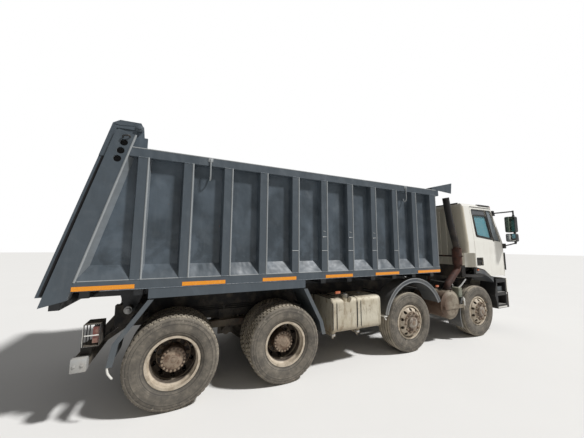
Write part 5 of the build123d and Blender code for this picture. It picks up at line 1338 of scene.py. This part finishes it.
def cab_covers(bm, side):
    """Mirror foot, bar on the roof's edge with its feet, and gutter over the door."""
    add_block(bm, side, (4.052, 4.128), (1.090, 1.262), (1.868, 1.984), 0.012)
    add_bar(bm, [(3.330, side * 1.100, 2.866), (3.360, side * 1.138, 2.866), (3.780, side * 1.138, 2.862),
                 (3.825, side * 1.105, 2.846)], 0.020, 0.02)
    for x in (3.42, 3.58, 3.74):
        add_block(bm, side, (x - 0.02, x + 0.02), (1.085, 1.132), (2.845, 2.880))
    add_bar(bm, [on_door(2.990, 2.808, 0.004, side), on_door(3.790, 2.808, 0.004, side)], 0.006, 0.01)


def corner_vane(bm, side):
    """Black vane round the lower front corner of the cab."""
    cent = (CAB_FRONT - 0.150, side * 1.070, 0)
    made = bmesh.ops.create_grid(bm, x_segments=1, y_segments=1, size=0.5, matrix=(
        Matrix.Translation((cent[0] + 0.1675, cent[1], 1.570)) @ Matrix.Rotation(pi / 2, 4, "X")
        @ Matrix.Diagonal((0.025, 0.400, 1, 1))))
    swept(bm, made["verts"], cent, (0, 0, side), radians(72), 14)


def mirror_faces(low, high):
    """A maker of the mirror glass between two heights of the rim."""
    def make(bm, side):
        face = upright(MIRROR_X, side, (1.302, 1.478), (low + 0.012, high - 0.012))
        add_plate(bm, face, (-0.003, 0, 0), 0.028)
    return make


def mirror_rims(bm, side):
    """Rims round the mirror glasses and clamps on the tube."""
    for span in (MAIN_MIRROR, SMALL_MIRROR):
        add_plate(bm, upright(MIRROR_X, side, (1.290, 1.490), span), (-0.007, 0, 0), 0.032, 0.012)
    for z in (2.230, 2.622, 2.015):
        add_rod(bm, (4.1262, side * 1.450, z - 0.02), (4.1262, side * 1.450, z + 0.02), 0.024, 20,
                bevel=0.004)


def cab_markers(bm, side):
    """Marker lamps at the roof's front corner and on the wheel arch."""
    add_block(bm, side, (3.815, 3.875), (1.075, 1.118), (2.842, 2.878), 0.008)
    add_block(bm, side, (2.992, 3.050), (1.216, 1.236), (1.385, 1.420), 0.006)


trim("cab_cover", "seal", "cab", cab_covers)
trim("corner_vane", "plastic", "cab", corner_vane)
trim("mirror_rim", "plastic", "cab", mirror_rims)
trim("mirror_face", "mirror_dark", "cab", mirror_faces(*MAIN_MIRROR))
trim("small_mirror_face", "mirror_light", "cab", mirror_faces(*SMALL_MIRROR))
trim("cab_marker", "orange", "cab", cab_markers)


def grille_slats(bm, side):
    """Upright slats and dark backing behind the grille's openings."""
    add_block(bm, side, (CAB_FRONT - 0.044, CAB_FRONT - 0.040), (0.0, 0.818), (1.300, 1.880), 0)
    for number in range(17):
        y = 0.022 + number * 0.048
        add_block(bm, side, (CAB_FRONT - 0.038, CAB_FRONT - 0.014), (y, y + 0.005), (1.302, 1.878), 0)


def screen_trim(bm, side):
    """Half of the windscreen's seal, with a parked wiper."""
    add_bar(bm, [on_screen(0, 2.058, 0.004), on_screen(side * 1.064, 2.058, 0.004),
                 on_screen(side * 1.047, 2.722, 0.004), on_screen(0, 2.722, 0.004)], 0.011, 0.05)
    hub = -0.30 + side * 0.33
    add_rod(bm, on_screen(hub, WIPER_Z, -0.02), on_screen(hub, WIPER_Z, 0.022), 0.016, 16, bevel=0.003)
    add_rod(bm, on_screen(hub, WIPER_Z, 0.016), on_screen(hub + 0.34, 2.098, 0.018), 0.008, 10, 0.005)
    add_rod(bm, on_screen(hub + 0.06, 2.078, 0.012), on_screen(hub + 0.62, 2.108, 0.012), 0.007, 8)


def bumper_trim(bm, side):
    """Dark slats and a dark back in the bumper's slot, a step plate on top, and a tow pin."""
    add_block(bm, side, (4.198, 4.202), (0.0, 0.630), (0.590, 0.830), 0)
    for z in (0.672, 0.710, 0.748):
        add_block(bm, side, (4.205, 4.222), (0.0, 0.556), (z - 0.006, z + 0.006), 0.002)
    add_block(bm, side, (4.06, 4.22), (0.25, 0.72), (1.166, 1.176), 0.003)
    add_rod(bm, (4.150, side * 0.66, 0.60), (4.238, side * 0.66, 0.60), 0.026, 20, bevel=0.004)


trim("grille_slat", "seal", "cab", grille_slats)
trim("screen_trim", "seal", "cab", screen_trim)
trim("bumper_trim", "step", "chassis", bumper_trim)


def roof_seam(bm, side):
    """Rubber over the joint behind the roof."""
    add_rod(bm, (2.7460, 0, 2.8780), (2.7460, side * 1.05, 2.8780), 0.0180, 12)


def hatch_seal(bm, side):
    """Rubber round the roof hatch."""
    hatch = [(3.150, -0.282), (3.150, 0.282), (3.632, 0.282), (3.632, -0.282)]
    add_plate(bm, [(x, side * y, ROOF_Z) for x, y in hatch], (0, 0, 0.003), 0.02, 0.010)


trim("roof_seam", "seal", "cab", roof_seam)
trim("hatch_seal", "seal", "cab", hatch_seal, sides=LEFT_ONLY)


# Seats: crowned cushions on a stand
SEAT_X = CAB_REAR + 0.180
SEAT_OUT = 0.690
SEAT_Z = 1.300
PAD_FULLNESS = 5.0
CHANNELS = (-0.62, 0.62)


def add_pad(bm, middle, size, lean):
    """A stuffed pad: a box whose faces are crowned and whose corners draw in, with sewn channels."""
    part = bmesh.new()
    bmesh.ops.create_cube(part, size=2.0)
    bmesh.ops.subdivide_edges(part, edges=part.edges[:], cuts=11, use_grid_fill=True)
    turn = Matrix.Translation(middle) @ Matrix.Rotation(lean, 4, "Y")
    for vert in part.verts:
        share = sum(abs(c) ** PAD_FULLNESS for c in vert.co) ** (1 / PAD_FULLNESS)
        round_co = vert.co / share
        groove = 1.0
        for line in CHANNELS:
            groove -= 0.05 * max(0.0, 1 - abs(round_co.y - line) / 0.07)
        vert.co = turn @ Vector((round_co.x * size[0] / 2 * (groove if abs(round_co.z) < 0.9 else 1.0),
                                 round_co.y * size[1] / 2,
                                 round_co.z * size[2] / 2 * (groove if abs(round_co.z) >= 0.6 else 1.0)))
    poured(bm, part)


for side_name, side in SIDES:
    y = side * SEAT_OUT
    bm = bmesh.new()
    add_pad(bm, (SEAT_X + 0.300, y, SEAT_Z + 0.315), (0.520, 0.490, 0.150), radians(-2.5))
    add_pad(bm, (SEAT_X + 0.050, y, SEAT_Z + 0.640), (0.105, 0.470, 0.600), radians(-4.5))
    add_pad(bm, (SEAT_X + 0.020, y, SEAT_Z + 1.030), (0.078, 0.280, 0.195), radians(-3.5))
    closed_up(bm)
    pads = piece(f"seat_pads_{side_name}", bm, "seat", "cab", 60)
    bm = bmesh.new()
    add_block(bm, 1, (SEAT_X + 0.130, SEAT_X + 0.450), (y - 0.155, y + 0.155), (SEAT_Z, SEAT_Z + 0.235),
              0.02)
    for post in (y - 0.06, y + 0.06):
        add_rod(bm, (SEAT_X + 0.030, post, SEAT_Z + 0.92), (SEAT_X + 0.022, post, SEAT_Z + 0.99), 0.007, 10)
    closed_up(bm)
    stand = piece(f"seat_stand_{side_name}", bm, "inside_plastic", "cab", 35)
    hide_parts("seats")
    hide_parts("seats")


# Camera, floor and light
CAMERA_TURN = (24.260, 6.400, 0.281)
CAMERA_PLACE = (AXLE_4 - 0.007, -4.587, 1.880)
CAMERA_LENS = 15.348
FLOOR_SHADES = ((0.70, 0.69, 0.67), (0.73, 0.72, 0.70))
SUN_WAY = (-1.3, 1.0, -1.95)
SURROUND_LIGHT = 0.24


def look():
    """The camera of the photo: place, yaw, pitch and roll from the wheels and the bed's posts."""
    yaw, pitch, roll = [radians(angle) for angle in CAMERA_TURN]
    ahead = Vector((sin(yaw) * cos(pitch), cos(yaw) * cos(pitch), sin(pitch)))
    right = Vector((cos(yaw), -sin(yaw), 0))
    up = right.cross(ahead)
    x_axis = right * cos(roll) + up * sin(roll)
    y_axis = up * cos(roll) - right * sin(roll)
    turn = Matrix((x_axis, y_axis, -ahead)).transposed()
    data = bpy.data.cameras.new("camera")
    data.sensor_width = 36
    data.lens = CAMERA_LENS
    data.clip_start = 0.05
    data.clip_end = 200
    camera = bpy.data.objects.new("camera", data)
    camera.matrix_world = Matrix.Translation(CAMERA_PLACE) @ turn.to_4x4()
    bpy.context.scene.collection.objects.link(camera)
    bpy.context.scene.camera = camera


def floor_and_light():
    """A pale floor, a soft key from the front right, and an even surround."""
    scene = bpy.context.scene
    scene.view_settings.view_transform = "Standard"
    bm = bmesh.new()
    bmesh.ops.create_grid(bm, x_segments=1, y_segments=1, size=90)
    mesh = bpy.data.meshes.new("floor")
    bm.to_mesh(mesh)
    bm.free()
    paint = Paint("floor_paint")
    mesh.materials.append(paint.finish(paint.mix(paint.noise(0.8), *FLOOR_SHADES), 0.9))
    floor = bpy.data.objects.new("floor", mesh)
    scene.collection.objects.link(floor)
    sun = bpy.data.lights.new("key", "SUN")
    sun.energy = 4.0
    sun.angle = radians(5)
    lamp = bpy.data.objects.new("key", sun)
    lamp.rotation_mode = "QUATERNION"
    lamp.rotation_quaternion = Vector(SUN_WAY).to_track_quat("-Z", "Y")
    scene.collection.objects.link(lamp)
    world = bpy.data.worlds.new("surround")
    scene.world = world
    world.use_nodes = True
    tree = world.node_tree
    tree.nodes.clear()
    path = tree.nodes.new("ShaderNodeLightPath")
    seen = tree.nodes.new("ShaderNodeMath")
    seen.operation = "MAXIMUM"
    tree.links.new(path.outputs["Is Camera Ray"], seen.inputs[0])
    tree.links.new(path.outputs["Is Transmission Ray"], seen.inputs[1])
    strength = tree.nodes.new("ShaderNodeMapRange")
    strength.inputs["To Min"].default_value = SURROUND_LIGHT
    strength.inputs["To Max"].default_value = 1.0
    tree.links.new(seen.outputs[0], strength.inputs["Value"])
    background = tree.nodes.new("ShaderNodeBackground")
    background.inputs["Color"].default_value = (1, 1, 1, 1)
    tree.links.new(strength.outputs[0], background.inputs["Strength"])
    output = tree.nodes.new("ShaderNodeOutputWorld")
    tree.links.new(background.outputs[0], output.inputs[0])


look()
floor_and_light()
